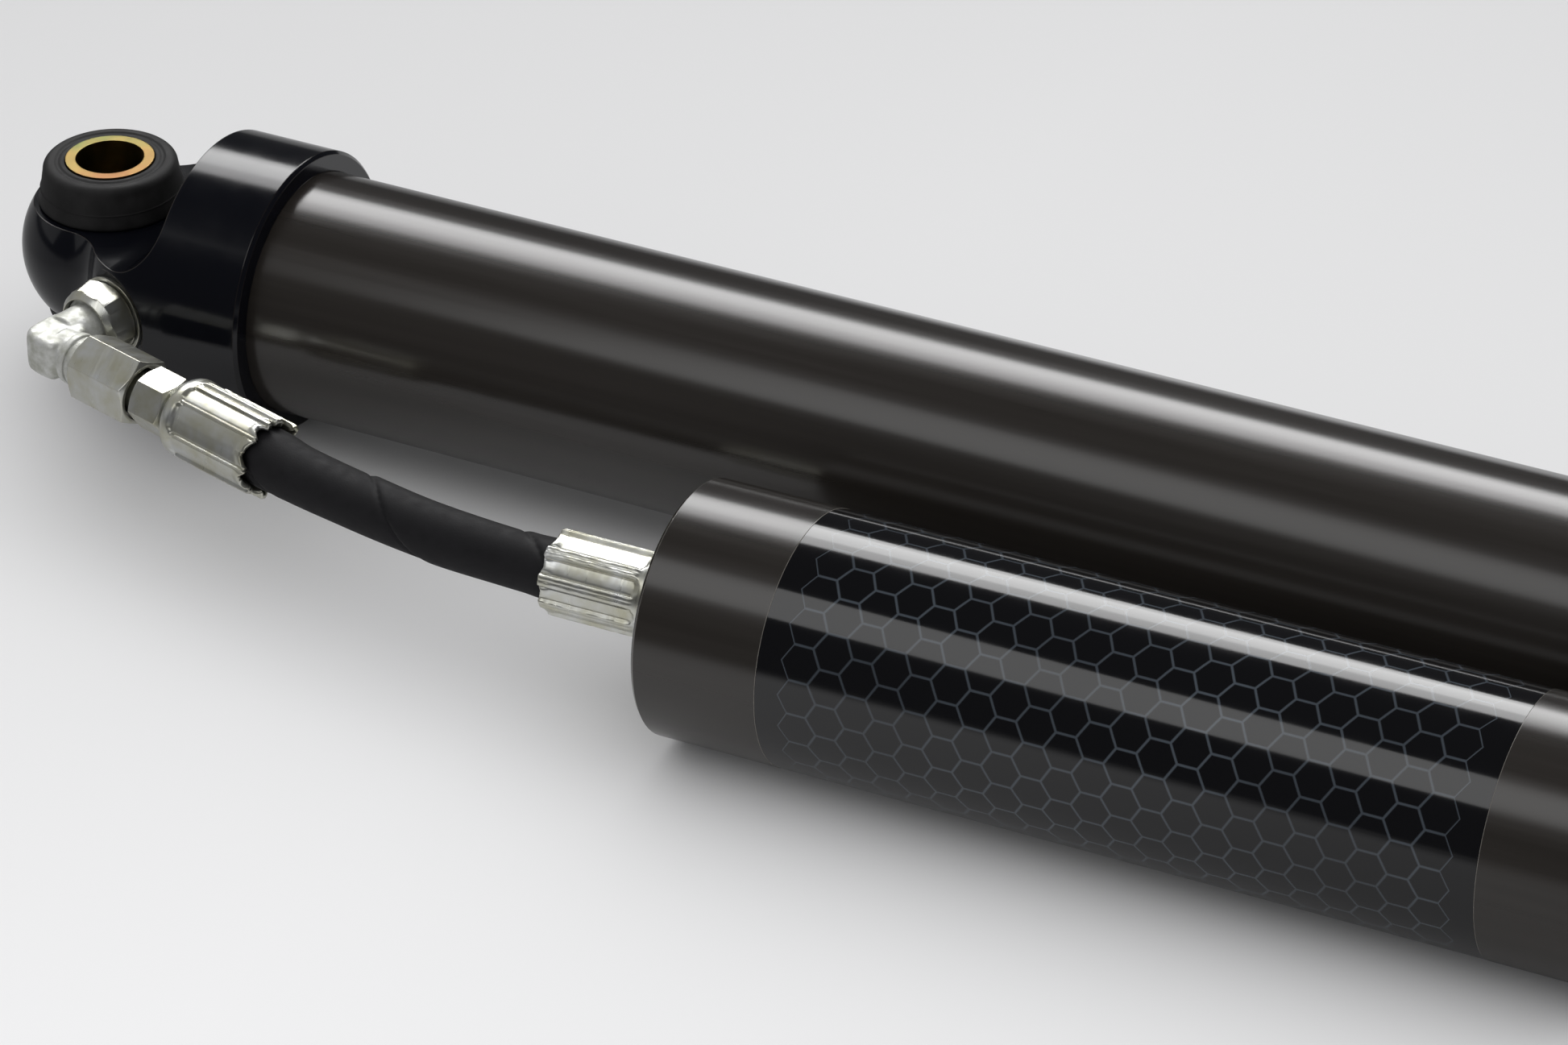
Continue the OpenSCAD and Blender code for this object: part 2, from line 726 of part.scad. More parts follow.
module hose_elbow() {
    color("#c8c9c0") elbow_frame() difference() {
        union() {
            intersection() {
                translate([0, 0, -elbow_t / 2]) linear_extrude(height = elbow_t)
                    heel_plan();
                rotate([90, 0, 0]) translate([0, 0, -elbow_w / 2])
                    linear_extrude(height = elbow_w) round_rect(elbow_w, elbow_t, elbow_edge);
                rotate([90, 0, 90]) translate([0, 0, -elbow_w / 2])
                    linear_extrude(height = elbow_w) round_rect(elbow_w, elbow_t, elbow_edge);
            }
            along_port() ring_x(0, lock_y0 - over, elbow_t / 2);
            along_port() ring_x(lock_y0 - over, stud_end, port_r);
            ring_x(0, nut_start - stop_gap, elbow_t / 2);
            turned() polygon([[0, nut_start - over], [thread_r, nut_start - over],
                              [thread_r, thread_end], [hole_r + over, cone_end],
                              [0, cone_end]]);
        }
        ring_x(0, cone_end + over, hole_r);
        along_port() ring_x(-oil_r, stud_end + over, hole_r);
    }
}

// The stem's head bears on the elbow's cone and the nut pulls it home
head_x = cone_end + stop_gap;
head_end = head_x + 2;
module swivel_nut() {
    color("#c8c9c0") elbow_frame() difference() {
        hex_x(nut_start, nut_end, nut_af, 1.3, 23);
        ring_x(nut_start - over, head_end, thread_r + seat_fit);
        ring_x(head_end - over, nut_end + over, neck_bore_r);
    }
}

module elbow_stem() {
    color("#c8c9c0") elbow_frame() difference() {
        union() {
            ring_x(head_x, head_end, thread_r - seat_fit);
            ring_x(head_end, hex_start, neck_bore_r - seat_fit);
            hex_x(hex_start, hex_end, stem_hex_af, hex_bevel, 8.5);
            ring_x(hex_end, ferrule_start + ferrule_wall, stem_r);
            ring_x(hose_start, hose_start + tail_len, tail_r);
        }
        ring_x(head_x - over, hose_start + tail_len + over, oil_r);
    }
}

// Crimped ferrule along X: shoulder at its start, scalloped mouth at its end
module ferrule(x0, spin) {
    x1 = x0 + ferrule_len;
    base_r = ferrule_r - ridge_h;
    shoulder = 3;
    step = 360 / crimps;
    scallop = base_r * sin(step / 2) * 0.8;
    difference() {
        union() {
            turned() {
                polygon([[0, x0], [base_r - shoulder, x0], [base_r - shoulder, x0 + shoulder],
                         [base_r, x0 + shoulder], [base_r, x1], [0, x1]]);
                translate([base_r - shoulder, x0 + shoulder]) circle(r = shoulder);
            }
            intersection() {
                ring_x(x0 + shoulder, x1, ferrule_r);
                for (i = [0 : crimps - 1]) rotate([spin + i * step, 0, 0])
                    translate([x0 + shoulder + 1.5, 0, -1.1])
                        cube([ferrule_len, ferrule_r + over, 2.2]);
            }
        }
        ring_x(x0 - over, x0 + ferrule_wall + over, ferrule_hole);
        ring_x(x0 + ferrule_wall, x1 + over, hose_r + seat_fit);
        for (i = [0 : crimps - 1]) rotate([spin + (i + 0.5) * step, 0, 0])
            translate([x1 + scallop * 0.45, 0, 0]) rotate([-90, 0, 0])
                cylinder(h = ferrule_r + over, r = scallop);
    }
}

module elbow_ferrule() {
    color("#c8c9c0") elbow_frame() ferrule(ferrule_start, 5);
}

module reservoir_ferrule() {
    color("#c8c9c0") reservoir_frame() translate([res_ferrule_end, 0, 0])
        mirror([1, 0, 0]) ferrule(0, 20);
}

// Hose route: straight out of the elbow, one bend, straight into the reservoir.
// The straight runs lap into the bend, which is finer by a hair so that they join cleanly.
module hose_route(r, hair) {
    lap = 1;
    elbow_frame() ring_x(hose_start, outlet_reach - hose_tangent + lap, r);
    bend_frame() translate([hose_tangent, hose_bend_r, 0])
        rotate([0, 0, -90 - hose_turn]) rotate_extrude(angle = hose_turn)
            translate([hose_bend_r, 0]) circle(r = r - hair);
    reservoir_frame() ring_x(meet_res + hose_tangent - lap, hose_end, r);
}

module hydraulic_hose() {
    color("#2a2a2c") difference() {
        hose_route(hose_r, 0.02);
        hose_route(hose_bore_d / 2, 0.02);
    }
}

module reservoir_stem() {
    color("#c8c9c0") reservoir_frame() difference() {
        union() {
            ring_x(hose_end - tail_len, hose_end, tail_r);
            ring_x(hose_end, res_hex_start, stem_r);
            hex_x(res_hex_start, hose_cap_x0, stem_hex_af, hex_bevel, 12);
            ring_x(hose_cap_x0, hose_cap_x0 + stem_thread_len, thread_r);
        }
        ring_x(hose_end - tail_len - over, hose_cap_x0 + stem_thread_len + over, oil_r);
    }
}

module stem_o_ring() {
    color("#111111") reservoir_frame()
        o_ring(hose_cap_x0 + ring_t / 4, thread_r + ring_t / 4 + seat_fit, ring_t * 0.5);
}

module reservoir_tube() {
    groove_r = bore_r + snap_t * 0.8;
    color("#3a3634") reservoir_frame() difference() {
        turned() difference() {
            bevelled_profile(res_start, res_end, res_r, rim_bevel);
            translate([0, res_start - over]) square([bore_r, res_len + 2 * over]);
        }
        ring_x(hose_cap_x0 - snap_t, hose_cap_x0, groove_r);
        ring_x(valve_cap_x1, valve_cap_x1 + snap_t, groove_r);
        ring_x(label_x0, label_x1, res_r + over, res_r - label_pocket);
    }
}

module reservoir_label() {
    color("#0d0d10") reservoir_frame()
        ring_x(label_x0 + seat_fit, label_x1 - seat_fit, label_r + label_t, label_r);
}

// End cap with an O-ring groove, from its inner face to its outer face
module end_cap(x0, x1) {
    mid = (x0 + x1) / 2;
    difference() {
        turned() bevelled_profile(x0, x1, bore_r - seat_fit, rim_bevel);
        difference() {
            ring_x(mid - groove_half, mid + groove_half, bore_r);
            ring_x(mid - ring_t, mid + ring_t, bore_r - seat_fit - ring_t);
        }
    }
}

module hose_end_cap() {
    color("#17181d") reservoir_frame() difference() {
        end_cap(hose_cap_x0, hose_cap_x1);
        ring_x(hose_cap_x0 - over, hose_cap_x0 + stem_thread_len + over, thread_r + seat_fit);
        ring_x(hose_cap_x0, hose_cap_x1 + over, oil_r);
        ring_x(hose_cap_x0 - over, hose_cap_x0 + ring_t * 0.55, thread_r + ring_t * 0.55);
    }
}

module valve_end_cap() {
    color("#17181d") reservoir_frame() difference() {
        end_cap(valve_cap_x0, valve_cap_x1);
        ring_x(valve_cap_x0 - over, valve_cap_x1 + over, valve_d / 2 + seat_fit);
    }
}

module end_cap_o_rings() {
    color("#111111") reservoir_frame()
        for (mid = [(hose_cap_x0 + hose_cap_x1) / 2, (valve_cap_x0 + valve_cap_x1) / 2])
            o_ring(mid, bore_r - seat_fit - ring_t / 2, ring_t - seat_fit);
}

// Spring ring with a gap, seated in the tube's groove
module snap_ring(x0, spin) {
    outer = bore_r + snap_t * 0.8 - stop_gap;
    color("#6d6f73") difference() {
        ring_x(x0 + seat_fit, x0 + snap_t - seat_fit, outer, outer - 3.6);
        rotate([spin, 0, 0]) translate([x0 - over, 0, -4]) cube([snap_t + 2 * over, bore_r + 4, 8]);
    }
}

module snap_rings() {
    reservoir_frame() {
        snap_ring(hose_cap_x0 - snap_t, 30);
        snap_ring(valve_cap_x1, 210);
    }
}

float_x1 = float_x0 + float_len;
float_band_x0 = float_x0 + 3;
float_band_len = float_len * 0.35;
float_o_ring_x = float_x1 - 6;
float_r = bore_r - 0.4;

// Cup-shaped piston that parts the oil from the gas
module floating_piston() {
    color("#a5a8ac") reservoir_frame() difference() {
        turned() bevelled_profile(float_x0, float_x1, float_r, rim_bevel);
        ring_x(float_x0 + 7, float_x1 + over, float_r - 8);
        difference() {
            ring_x(float_band_x0, float_band_x0 + float_band_len, bore_r);
            ring_x(float_x0 - over, float_x1 + over, bore_r - run_fit - band_t);
        }
        difference() {
            ring_x(float_o_ring_x - groove_half, float_o_ring_x + groove_half, bore_r);
            ring_x(float_x0 - over, float_x1 + over, bore_r - run_fit - ring_t);
        }
    }
}

module float_band() {
    color("#6b4a32") reservoir_frame()
        ring_x(float_band_x0 + seat_fit, float_band_x0 + float_band_len - seat_fit,
               bore_r - run_fit, bore_r - run_fit - band_t + seat_fit);
}

module float_o_ring() {
    color("#111111") reservoir_frame()
        o_ring(float_o_ring_x, bore_r - run_fit - (ring_t - seat_fit) / 2, ring_t - seat_fit);
}

// Gas valve screwed through the far end cap
module gas_valve() {
    base = 3;
    color("#b9a05a") reservoir_frame() difference() {
        union() {
            ring_x(valve_cap_x0 + 2, valve_cap_x1 + valve_len, valve_d / 2);
            hex_x(valve_cap_x1, valve_cap_x1 + base, valve_d * 1.45, 0.6);
        }
        ring_x(valve_cap_x0, valve_cap_x1 + valve_len + over, valve_d / 4);
    }
}

module valve_dust_cap() {
    cap_x0 = valve_cap_x1 + 3 + stop_gap;
    cap_x1 = valve_cap_x1 + valve_len + 1.5;
    color("#1b1b1c") reservoir_frame() difference() {
        turned() bevelled_profile(cap_x0, cap_x1, valve_cap_d / 2, rim_bevel / 2);
        ring_x(cap_x0 - over, valve_cap_x1 + valve_len, valve_d / 2 + seat_fit);
    }
}

upper_eye_cap();
upper_bushes();
upper_sleeve();
cap_o_ring();
body_tube();
end_collar();
seal_head();
head_o_ring();
rod_bushing();
rod_seal();
rod_wiper();
rod();
piston();
piston_band();
compression_shims();
rebound_shims();
piston_nut();
top_out_spacer();
bump_stop();
bump_washer();
jam_nut();
lower_eye();
lower_bushes();
lower_sleeve();
port_o_ring();
port_washer();
lock_nut();
hose_elbow();
swivel_nut();
elbow_stem();
elbow_ferrule();
hydraulic_hose();
reservoir_ferrule();
reservoir_stem();
stem_o_ring();
reservoir_tube();
reservoir_label();
hose_end_cap();
valve_end_cap();
end_cap_o_rings();
snap_rings();
floating_piston();
float_band();
float_o_ring();
gas_valve();
valve_dust_cap();
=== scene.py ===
# %% [markdown]
# # A remote-reservoir shock absorber
# This is a gas shock absorber for the rear axle of an off-road truck: a
# thick oil tube with an eye on its cap, a chromed rod with the second eye,
# and a shorter tube, the reservoir, on a short hose. The solid model already
# gives every piece its place. This script loads it as a fixed frame, lights
# it like a product on a white table, gives each surface its finish, and
# rebuilds the soft and crimped pieces, whose charm is in small shapes.

import math
import random

import bmesh
import bpy
from mathutils import Matrix, Vector, noise


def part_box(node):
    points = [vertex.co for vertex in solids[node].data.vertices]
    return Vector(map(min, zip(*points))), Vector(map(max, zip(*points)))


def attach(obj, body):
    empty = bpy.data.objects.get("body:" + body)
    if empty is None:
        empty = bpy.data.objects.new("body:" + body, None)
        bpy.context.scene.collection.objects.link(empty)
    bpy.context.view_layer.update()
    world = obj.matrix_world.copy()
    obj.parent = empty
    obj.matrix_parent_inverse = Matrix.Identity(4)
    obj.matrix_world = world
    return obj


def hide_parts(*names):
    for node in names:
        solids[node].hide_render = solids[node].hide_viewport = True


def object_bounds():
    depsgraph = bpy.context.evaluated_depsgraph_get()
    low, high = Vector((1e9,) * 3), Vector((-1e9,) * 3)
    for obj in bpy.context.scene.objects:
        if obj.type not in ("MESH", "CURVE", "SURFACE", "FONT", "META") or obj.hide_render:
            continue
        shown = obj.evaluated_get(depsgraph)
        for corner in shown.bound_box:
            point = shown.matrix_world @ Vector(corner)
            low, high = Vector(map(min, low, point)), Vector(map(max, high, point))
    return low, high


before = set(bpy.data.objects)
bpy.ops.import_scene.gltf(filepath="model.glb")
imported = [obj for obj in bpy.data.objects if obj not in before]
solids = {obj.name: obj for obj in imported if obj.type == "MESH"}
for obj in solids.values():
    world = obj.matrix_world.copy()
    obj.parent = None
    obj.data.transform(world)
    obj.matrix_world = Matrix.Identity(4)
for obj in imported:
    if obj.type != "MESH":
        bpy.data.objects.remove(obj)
frame_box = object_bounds()
MM = 0.001
print("pieces in the frame:", len(solids))

# %% [markdown]
# ## The camera
# The product stands a metre and a half away, under a long lens, so its
# parallel tubes stay nearly parallel. The camera looks 32 degrees down and a
# little along the body, and leans by less than a degree. A long lens is a
# narrow field of view, so the camera is far away and the focal length large.

# %% Camera
lens_mm = 147.28
camera_place = Vector((0.749868, -1.092121, 0.739434))
look_down, look_round, lean = 58.08, 27.708, -0.728

camera_data = bpy.data.cameras.new("studio_camera")
camera_data.lens = lens_mm
camera_data.sensor_width = 36.0
camera = bpy.data.objects.new("studio_camera", camera_data)
bpy.context.scene.collection.objects.link(camera)
camera.matrix_world = (
    Matrix.Translation(camera_place)
    @ Matrix.Rotation(math.radians(look_round), 4, "Z")
    @ Matrix.Rotation(math.radians(look_down), 4, "X")
    @ Matrix.Rotation(math.radians(lean), 4, "Z")
)
bpy.context.scene.camera = camera
bpy.context.scene.view_settings.view_transform = "Standard"
print("camera distance from the eye:", round(camera_place.length, 3), "m")

# %% [markdown]
# ## The table
# A glossy black tube shows the table more than it shows itself: the lower
# half of each tube is a dark picture of the white floor. So the floor is a
# real, wide, pale surface that catches the shadows, and not a backdrop
# colour. It lies just under the lowest point of the part.

# %% Floor
floor_gap = 0.02 * MM
floor_level = frame_box[0].z - floor_gap
floor_half = 6.0

floor_mesh = bpy.data.meshes.new("table_top")
corners = [(x * floor_half, y * floor_half, floor_level)
           for x, y in ((-1, -1), (1, -1), (1, 1), (-1, 1))]
floor_mesh.from_pydata(corners, [], [(0, 1, 2, 3)])
floor = bpy.data.objects.new("table_top", floor_mesh)
bpy.context.scene.collection.objects.link(floor)
print("floor at", round(floor_level * 1000, 2), "mm")

# %% [markdown]
# ## The table's tones
# The table's white carries painted light: it is a little paler in front than
# behind and greyer on its left, painted shade where less light falls. In
# mirrors only, a painted reflection darkens it towards its near, left and
# right sides, as if black cloths lay over those edges. Each tone is a plain
# ramp along one side of the table, and where two ramps meet they are
# multiplied. Light Path says whether a ray comes from the eye or from a
# glossy piece.

# %% Tones of the floor
floor_finish = bpy.data.materials.new("white_table")
floor_finish.use_nodes = True
floor_nodes, floor_links = floor_finish.node_tree.nodes, floor_finish.node_tree.links
floor_shader = floor_nodes["Principled BSDF"]
floor_place = floor_nodes.new("ShaderNodeTexCoord")
floor_sides = floor_nodes.new("ShaderNodeSeparateXYZ")
floor_links.new(floor_place.outputs["Object"], floor_sides.inputs["Vector"])


def floor_ramp(side, start, end, tone_start, tone_end):
    """Tone that changes along one side of the floor, in metres."""
    tone = floor_nodes.new("ShaderNodeMapRange")
    for socket, value in (("From Min", start), ("From Max", end),
                          ("To Min", tone_start), ("To Max", tone_end)):
        tone.inputs[socket].default_value = value
    floor_links.new(floor_sides.outputs[side], tone.inputs["Value"])
    return tone.outputs["Result"]


def times(first, second):
    """Product of two tones."""
    product = floor_nodes.new("ShaderNodeMath")
    product.operation = "MULTIPLY"
    floor_links.new(first, product.inputs[0])
    floor_links.new(second, product.inputs[1])
    return product.outputs["Value"]


# Painted shade: the table is darker behind and on its left, as the light falls off.
painted_falloff_tone = times(floor_ramp("Y", -0.35, 0.45, 0.88, 0.64),
                    floor_ramp("X", -0.30, 0.15, 0.84, 1.0))
# Painted reflection: in mirrors the table is darker towards its near, left and right sides.
painted_reflection_tone = times(floor_ramp("Y", -0.60, -0.30, 0.25, 0.80),
                      times(floor_ramp("X", -0.12, 0.14, 0.35, 1.0),
                            floor_ramp("X", 0.16, 0.40, 1.0, 0.60)))
seen_by = floor_nodes.new("ShaderNodeLightPath")
floor_tone = floor_nodes.new("ShaderNodeMix")
floor_links.new(seen_by.outputs["Is Glossy Ray"], floor_tone.inputs["Factor"])
floor_links.new(painted_falloff_tone, floor_tone.inputs["A"])
floor_links.new(painted_reflection_tone, floor_tone.inputs["B"])
floor_links.new(floor_tone.outputs["Result"], floor_shader.inputs["Base Color"])
floor_shader.inputs["Roughness"].default_value = 0.85
floor_shader.inputs["Specular IOR Level"].default_value = 0.2
floor_mesh.materials.append(floor_finish)
print("floor finish:", len(floor_nodes), "nodes")

# %% [markdown]
# ## The light
# Glossy things show the lamps themselves, so here the lamps that are mirrored
# and the lamps that light are kept apart. Two soft boxes are only there to be
# mirrored: the large one behind the part makes the white band along the upper
# back of each tube, and the weaker one on the camera's side makes the second
# band lower down. A dim card on the left is out of the tubes' sight, but the
# flats of the nuts mirror it. A wide panel overhead, never mirrored, lights
# the table evenly and leaves short, soft shadows.

# %% Soft boxes and overhead panel


def soft_box(name, place, aim, width, height, radiance, mirrored=True, lights=True):
    """A rectangular lamp that faces a point, with its brightness per area."""
    lamp_data = bpy.data.lights.new(name, "AREA")
    lamp_data.shape = "RECTANGLE"
    lamp_data.size, lamp_data.size_y = width, height
    lamp_data.energy = radiance * math.pi * width * height
    lamp = bpy.data.objects.new(name, lamp_data)
    bpy.context.scene.collection.objects.link(lamp)
    lamp.location = place
    lamp.rotation_euler = (Vector(aim) - Vector(place)).to_track_quat("-Z", "Y").to_euler()
    lamp.visible_glossy = mirrored
    lamp.visible_diffuse = lights


tubes_middle, card_aim = (0.2, -0.03, 0.0), (0.0, -0.3, 0.3)
soft_box("back_box", (-0.33, 0.99, 1.12), tubes_middle, 1.75, 0.70, 6.0, lights=False)
soft_box("back_box_core", (-0.32, 0.97, 1.01), tubes_middle, 1.70, 0.34, 2.6, lights=False)
soft_box("front_box", (-0.02, -0.88, 1.10), tubes_middle, 1.0, 0.60, 2.0, lights=False)
soft_box("left_card", (-1.3, -0.3, 0.85), card_aim, 2.0, 1.5, 0.33, lights=False)
soft_box("overhead_panel", (0.25, 0.1, 2.0), tubes_middle, 4.4, 4.0, 0.62, mirrored=False)

# %% [markdown]
# ## The room
# The room's pale walls fill the shadows, but in mirrors the room is nearly
# dark, because black paint looks black only when it has something dark to
# mirror. One world can do both: it asks each ray what kind it is.

# %% Room
dark_walls, pale_walls = (0.05, 0.051, 0.054, 1.0), (0.70, 0.70, 0.71, 1.0)

room = bpy.data.worlds.new("studio_room")
room.use_nodes = True
room_nodes, room_links = room.node_tree.nodes, room.node_tree.links
dark_side = room_nodes["Background"]
dark_side.inputs["Color"].default_value = dark_walls
pale_side = room_nodes.new("ShaderNodeBackground")
pale_side.inputs["Color"].default_value = pale_walls
ray_kind = room_nodes.new("ShaderNodeLightPath")
choose_side = room_nodes.new("ShaderNodeMixShader")
room_links.new(ray_kind.outputs["Is Glossy Ray"], choose_side.inputs["Fac"])
room_links.new(pale_side.outputs["Background"], choose_side.inputs[1])
room_links.new(dark_side.outputs["Background"], choose_side.inputs[2])
room_links.new(choose_side.outputs["Shader"], room_nodes["World Output"].inputs["Surface"])
bpy.context.scene.world = room
print("room:", room.name)

# %% [markdown]
# ## Where the elbow and the hose run
# The elbow leaves the cap's port and points at the reservoir. Its outlet's
# line and the reservoir's axis meet in one point, and the hose takes that
# corner in a single wide bend. Two frames hold all the fittings: one at the
# elbow's corner with X out of the outlet, and one on the reservoir's axis.

# %% Frames of the elbow and the reservoir
port_x, port_y, port_arm = 17.6, 29.0, 19.0
outlet_angle = math.radians(13.7)
reservoir_side, reservoir_yaw = -76.1, math.radians(0.75)
reservoir_low, reservoir_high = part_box("reservoir_tube")
reservoir_height = (reservoir_low.z + reservoir_high.z) / 2 / MM
tube_radius = (reservoir_high.z - reservoir_low.z) / 2 / MM

elbow_corner = Vector((port_x - port_arm * math.sin(outlet_angle),
                       -port_y - port_arm * math.cos(outlet_angle), 0.0))
axis_run = Vector((math.cos(reservoir_yaw), math.sin(reservoir_yaw), 0.0))
axis_side = Vector((-axis_run.y, axis_run.x, 0.0))
outlet_flat = Vector((math.cos(outlet_angle), -math.sin(outlet_angle), 0.0))
reach = ((elbow_corner - Vector((0, reservoir_side, 0))).dot(axis_side)
         / -outlet_flat.dot(axis_side))
meeting = elbow_corner + outlet_flat * reach + Vector((0, 0, reservoir_height))
outlet_run = (meeting - elbow_corner).normalized()

elbow_frame = (Matrix.Translation(elbow_corner) @ Matrix.Rotation(-outlet_angle, 4, "Z")
               @ Matrix.Rotation(math.asin(-outlet_run.z), 4, "Y"))
reservoir_frame = (Matrix.Translation((0, reservoir_side, reservoir_height))
                   @ Matrix.Rotation(reservoir_yaw, 4, "Z"))
print("elbow's corner:", [round(v, 2) for v in elbow_corner],
      "- lines meet at", [round(v, 2) for v in meeting])

# %% [markdown]
# ## Start of a finish
# Every finish is a Principled shader, which covers paint, rubber and metal
# with one set of sockets. This cell makes the material, sets its plain
# values, and links whatever drives its colour and its roughness.

# %% Start a finish
finishes = {}


def new_finish(name, colour, roughness, metallic=0.0, specular=0.5):
    """Starts a finish and returns its material, node tree and shader."""
    finish = bpy.data.materials.new(name)
    finish.use_nodes = True
    tree = finish.node_tree
    shader = tree.nodes["Principled BSDF"]
    shader.inputs["Base Color"].default_value = (*colour, 1.0)
    shader.inputs["Roughness"].default_value = roughness
    shader.inputs["Metallic"].default_value = metallic
    shader.inputs["Specular IOR Level"].default_value = specular
    return finish, tree, shader


def feed(tree, shader, colour=None, roughness=None):
    """Links what drives the shader's colour and its roughness."""
    for source, socket in ((colour, "Base Color"), (roughness, "Roughness")):
        if source is not None:
            tree.links.new(source, shader.inputs[socket])


def math_node(tree, operation, first, second=None, third=None):
    """One Math node whose inputs are numbers or sockets."""
    node = tree.nodes.new("ShaderNodeMath")
    node.operation = operation
    for slot, value in enumerate((first, second, third)):
        if value is None:
            continue
        if isinstance(value, (int, float)):
            node.inputs[slot].default_value = value
        else:
            tree.links.new(value, node.inputs[slot])
    return node.outputs[0]


print("finishes so far:", len(finishes))

# %% [markdown]
# ## Noise and what it drives
# No real surface is even, so a noise moves the roughness and the colour a
# little. It reads the object's own coordinates in metres, so a scale of 1000
# means grains a millimetre apart. A noise lies mostly near a half, so it is
# spread between 0.3 and 0.7 before it is used.

# %% Noise, ranges and colours


def grain(tree, scale, detail=3.0, stretch=(1.0, 1.0, 1.0)):
    """Noise in object coordinates, stretched along an axis if wanted."""
    place = tree.nodes.new("ShaderNodeTexCoord")
    mapping = tree.nodes.new("ShaderNodeMapping")
    mapping.inputs["Scale"].default_value = stretch
    grains = tree.nodes.new("ShaderNodeTexNoise")
    grains.inputs["Scale"].default_value = scale
    grains.inputs["Detail"].default_value = detail
    grains.inputs["Roughness"].default_value = 0.55
    tree.links.new(place.outputs["Object"], mapping.inputs["Vector"])
    tree.links.new(mapping.outputs["Vector"], grains.inputs["Vector"])
    return grains.outputs["Fac"]


def to_range(tree, source, low, high, start=0.3, end=0.7):
    """Spreads a noise or a distance over low to high."""
    node = tree.nodes.new("ShaderNodeMapRange")
    node.inputs["From Min"].default_value = start
    node.inputs["From Max"].default_value = end
    node.inputs["To Min"].default_value = low
    node.inputs["To Max"].default_value = high
    tree.links.new(source, node.inputs["Value"])
    return node.outputs["Result"]


def two_colours(tree, source, dark, light, start=0.3, end=0.7):
    """Blends two colours by a noise or a mask."""
    ramp = tree.nodes.new("ShaderNodeValToRGB")
    ramp.color_ramp.elements[0].position = start
    ramp.color_ramp.elements[0].color = (*dark, 1.0)
    ramp.color_ramp.elements[1].position = end
    ramp.color_ramp.elements[1].color = (*light, 1.0)
    tree.links.new(source, ramp.inputs["Fac"])
    return ramp.outputs["Color"]


def laid_over(tree, mask, under, top_colour):
    """Lays one plain colour over another where a mask is 1."""
    mix = tree.nodes.new("ShaderNodeMix")
    mix.data_type = "RGBA"
    tree.links.new(mask, mix.inputs["Factor"])
    tree.links.new(under, mix.inputs["A"])
    mix.inputs["B"].default_value = (*top_colour, 1.0)
    return mix.outputs["Result"]


print("noise helpers ready")

# %% [markdown]
# ## Edges and bumps
# The solid model's edges are perfectly sharp, and no real edge is. A bevel
# normal rounds them for the light without a single new face. Where it leans
# away from the true normal there is an edge, so the same node also says
# where a coat is thin or worn. A bump gives the grain its depth.

# %% Edges, wear and bumps


def soft_edges(tree, radius_mm):
    """Normal that rounds the sharp edges of a solid by this radius."""
    bevel = tree.nodes.new("ShaderNodeBevel")
    bevel.samples = 6
    bevel.inputs["Radius"].default_value = radius_mm * MM
    return bevel.outputs["Normal"]


def worn_edge_mask(tree, bevel_normal, sharpness):
    """Mask that is 1 on the sharp edges and 0 on the faces."""
    here = tree.nodes.new("ShaderNodeNewGeometry")
    dot = tree.nodes.new("ShaderNodeVectorMath")
    dot.operation = "DOT_PRODUCT"
    tree.links.new(bevel_normal, dot.inputs[0])
    tree.links.new(here.outputs["Normal"], dot.inputs[1])
    turned_away = math_node(tree, "SUBTRACT", 1.0, dot.outputs["Value"])
    strong = math_node(tree, "MULTIPLY", turned_away, sharpness)
    return math_node(tree, "MINIMUM", strong, 1.0)


def add_bump(tree, shader, height, depth_mm, normal=None):
    """Bump of a height field, its full depth in millimetres."""
    bump = tree.nodes.new("ShaderNodeBump")
    bump.inputs["Strength"].default_value = 1.0
    bump.inputs["Distance"].default_value = depth_mm * MM
    tree.links.new(height, bump.inputs["Height"])
    if normal is not None:
        tree.links.new(normal, bump.inputs["Normal"])
    tree.links.new(bump.outputs["Normal"], shader.inputs["Normal"])
    return bump.outputs["Normal"]


print("edge helpers ready")

# %% [markdown]
# ## Black cap and collar
# The end cap, the collar and both eyes are aluminium under a glossy black
# coat with a hint of blue. Such a coat is mirror-smooth to the touch but has
# a faint orange peel, which breaks the edges of reflections. Sharp corners
# carry a thinner coat, so the metal's warm tone shows at the very edge, and
# that warm brown edge is also a painted highlight, as where light catches a
# chamfer.

# %% Black coat
# The warm brown edge colour is a thinner coat and a painted highlight on the chamfers.
coat_black, thin_coat_and_highlight = (0.0024, 0.0027, 0.0045), (0.035, 0.024, 0.016)
finish, tree, shader = new_finish("black_coat", coat_black, 0.13, 0.0, 0.4)
peel = grain(tree, 260.0, 2.0)
edge = soft_edges(tree, 0.35)
add_bump(tree, shader, peel, 0.004, edge)
thin_coat_and_highlight_mask = worn_edge_mask(tree, edge, 5.0)
feed(tree, shader, two_colours(tree, thin_coat_and_highlight_mask, coat_black, thin_coat_and_highlight, 0.15, 0.9),
     to_range(tree, grain(tree, 90.0, 4.0), 0.11, 0.17))
finishes["cap_black"] = finish
print("finish:", finish.name)

# %% [markdown]
# ## Grey-brown tubes
# Body and reservoir are drawn tubes with a dark, warm, satin-gloss coat. The
# drawing leaves long faint streaks, so the noise is stretched along the
# tube: it changes fast round the tube and slowly along it.

# %% Tube coat
finish, tree, shader = new_finish("tube_coat", (0.019, 0.0165, 0.0145), 0.2)
streaks = grain(tree, 260.0, 4.0, (0.02, 1.0, 1.0))
speckle = grain(tree, 2500.0, 2.0)
edge = soft_edges(tree, 0.25)
add_bump(tree, shader, speckle, 0.0012, edge)
bare = worn_edge_mask(tree, edge, 6.0)
coat_colour = two_colours(tree, streaks, (0.0165, 0.0143, 0.0122), (0.0225, 0.0195, 0.017))
feed(tree, shader, laid_over(tree, bare, coat_colour, (0.30, 0.28, 0.25)),
     to_range(tree, streaks, 0.17, 0.23))
finishes["tube_grey"] = finish
print("finish:", finish.name)

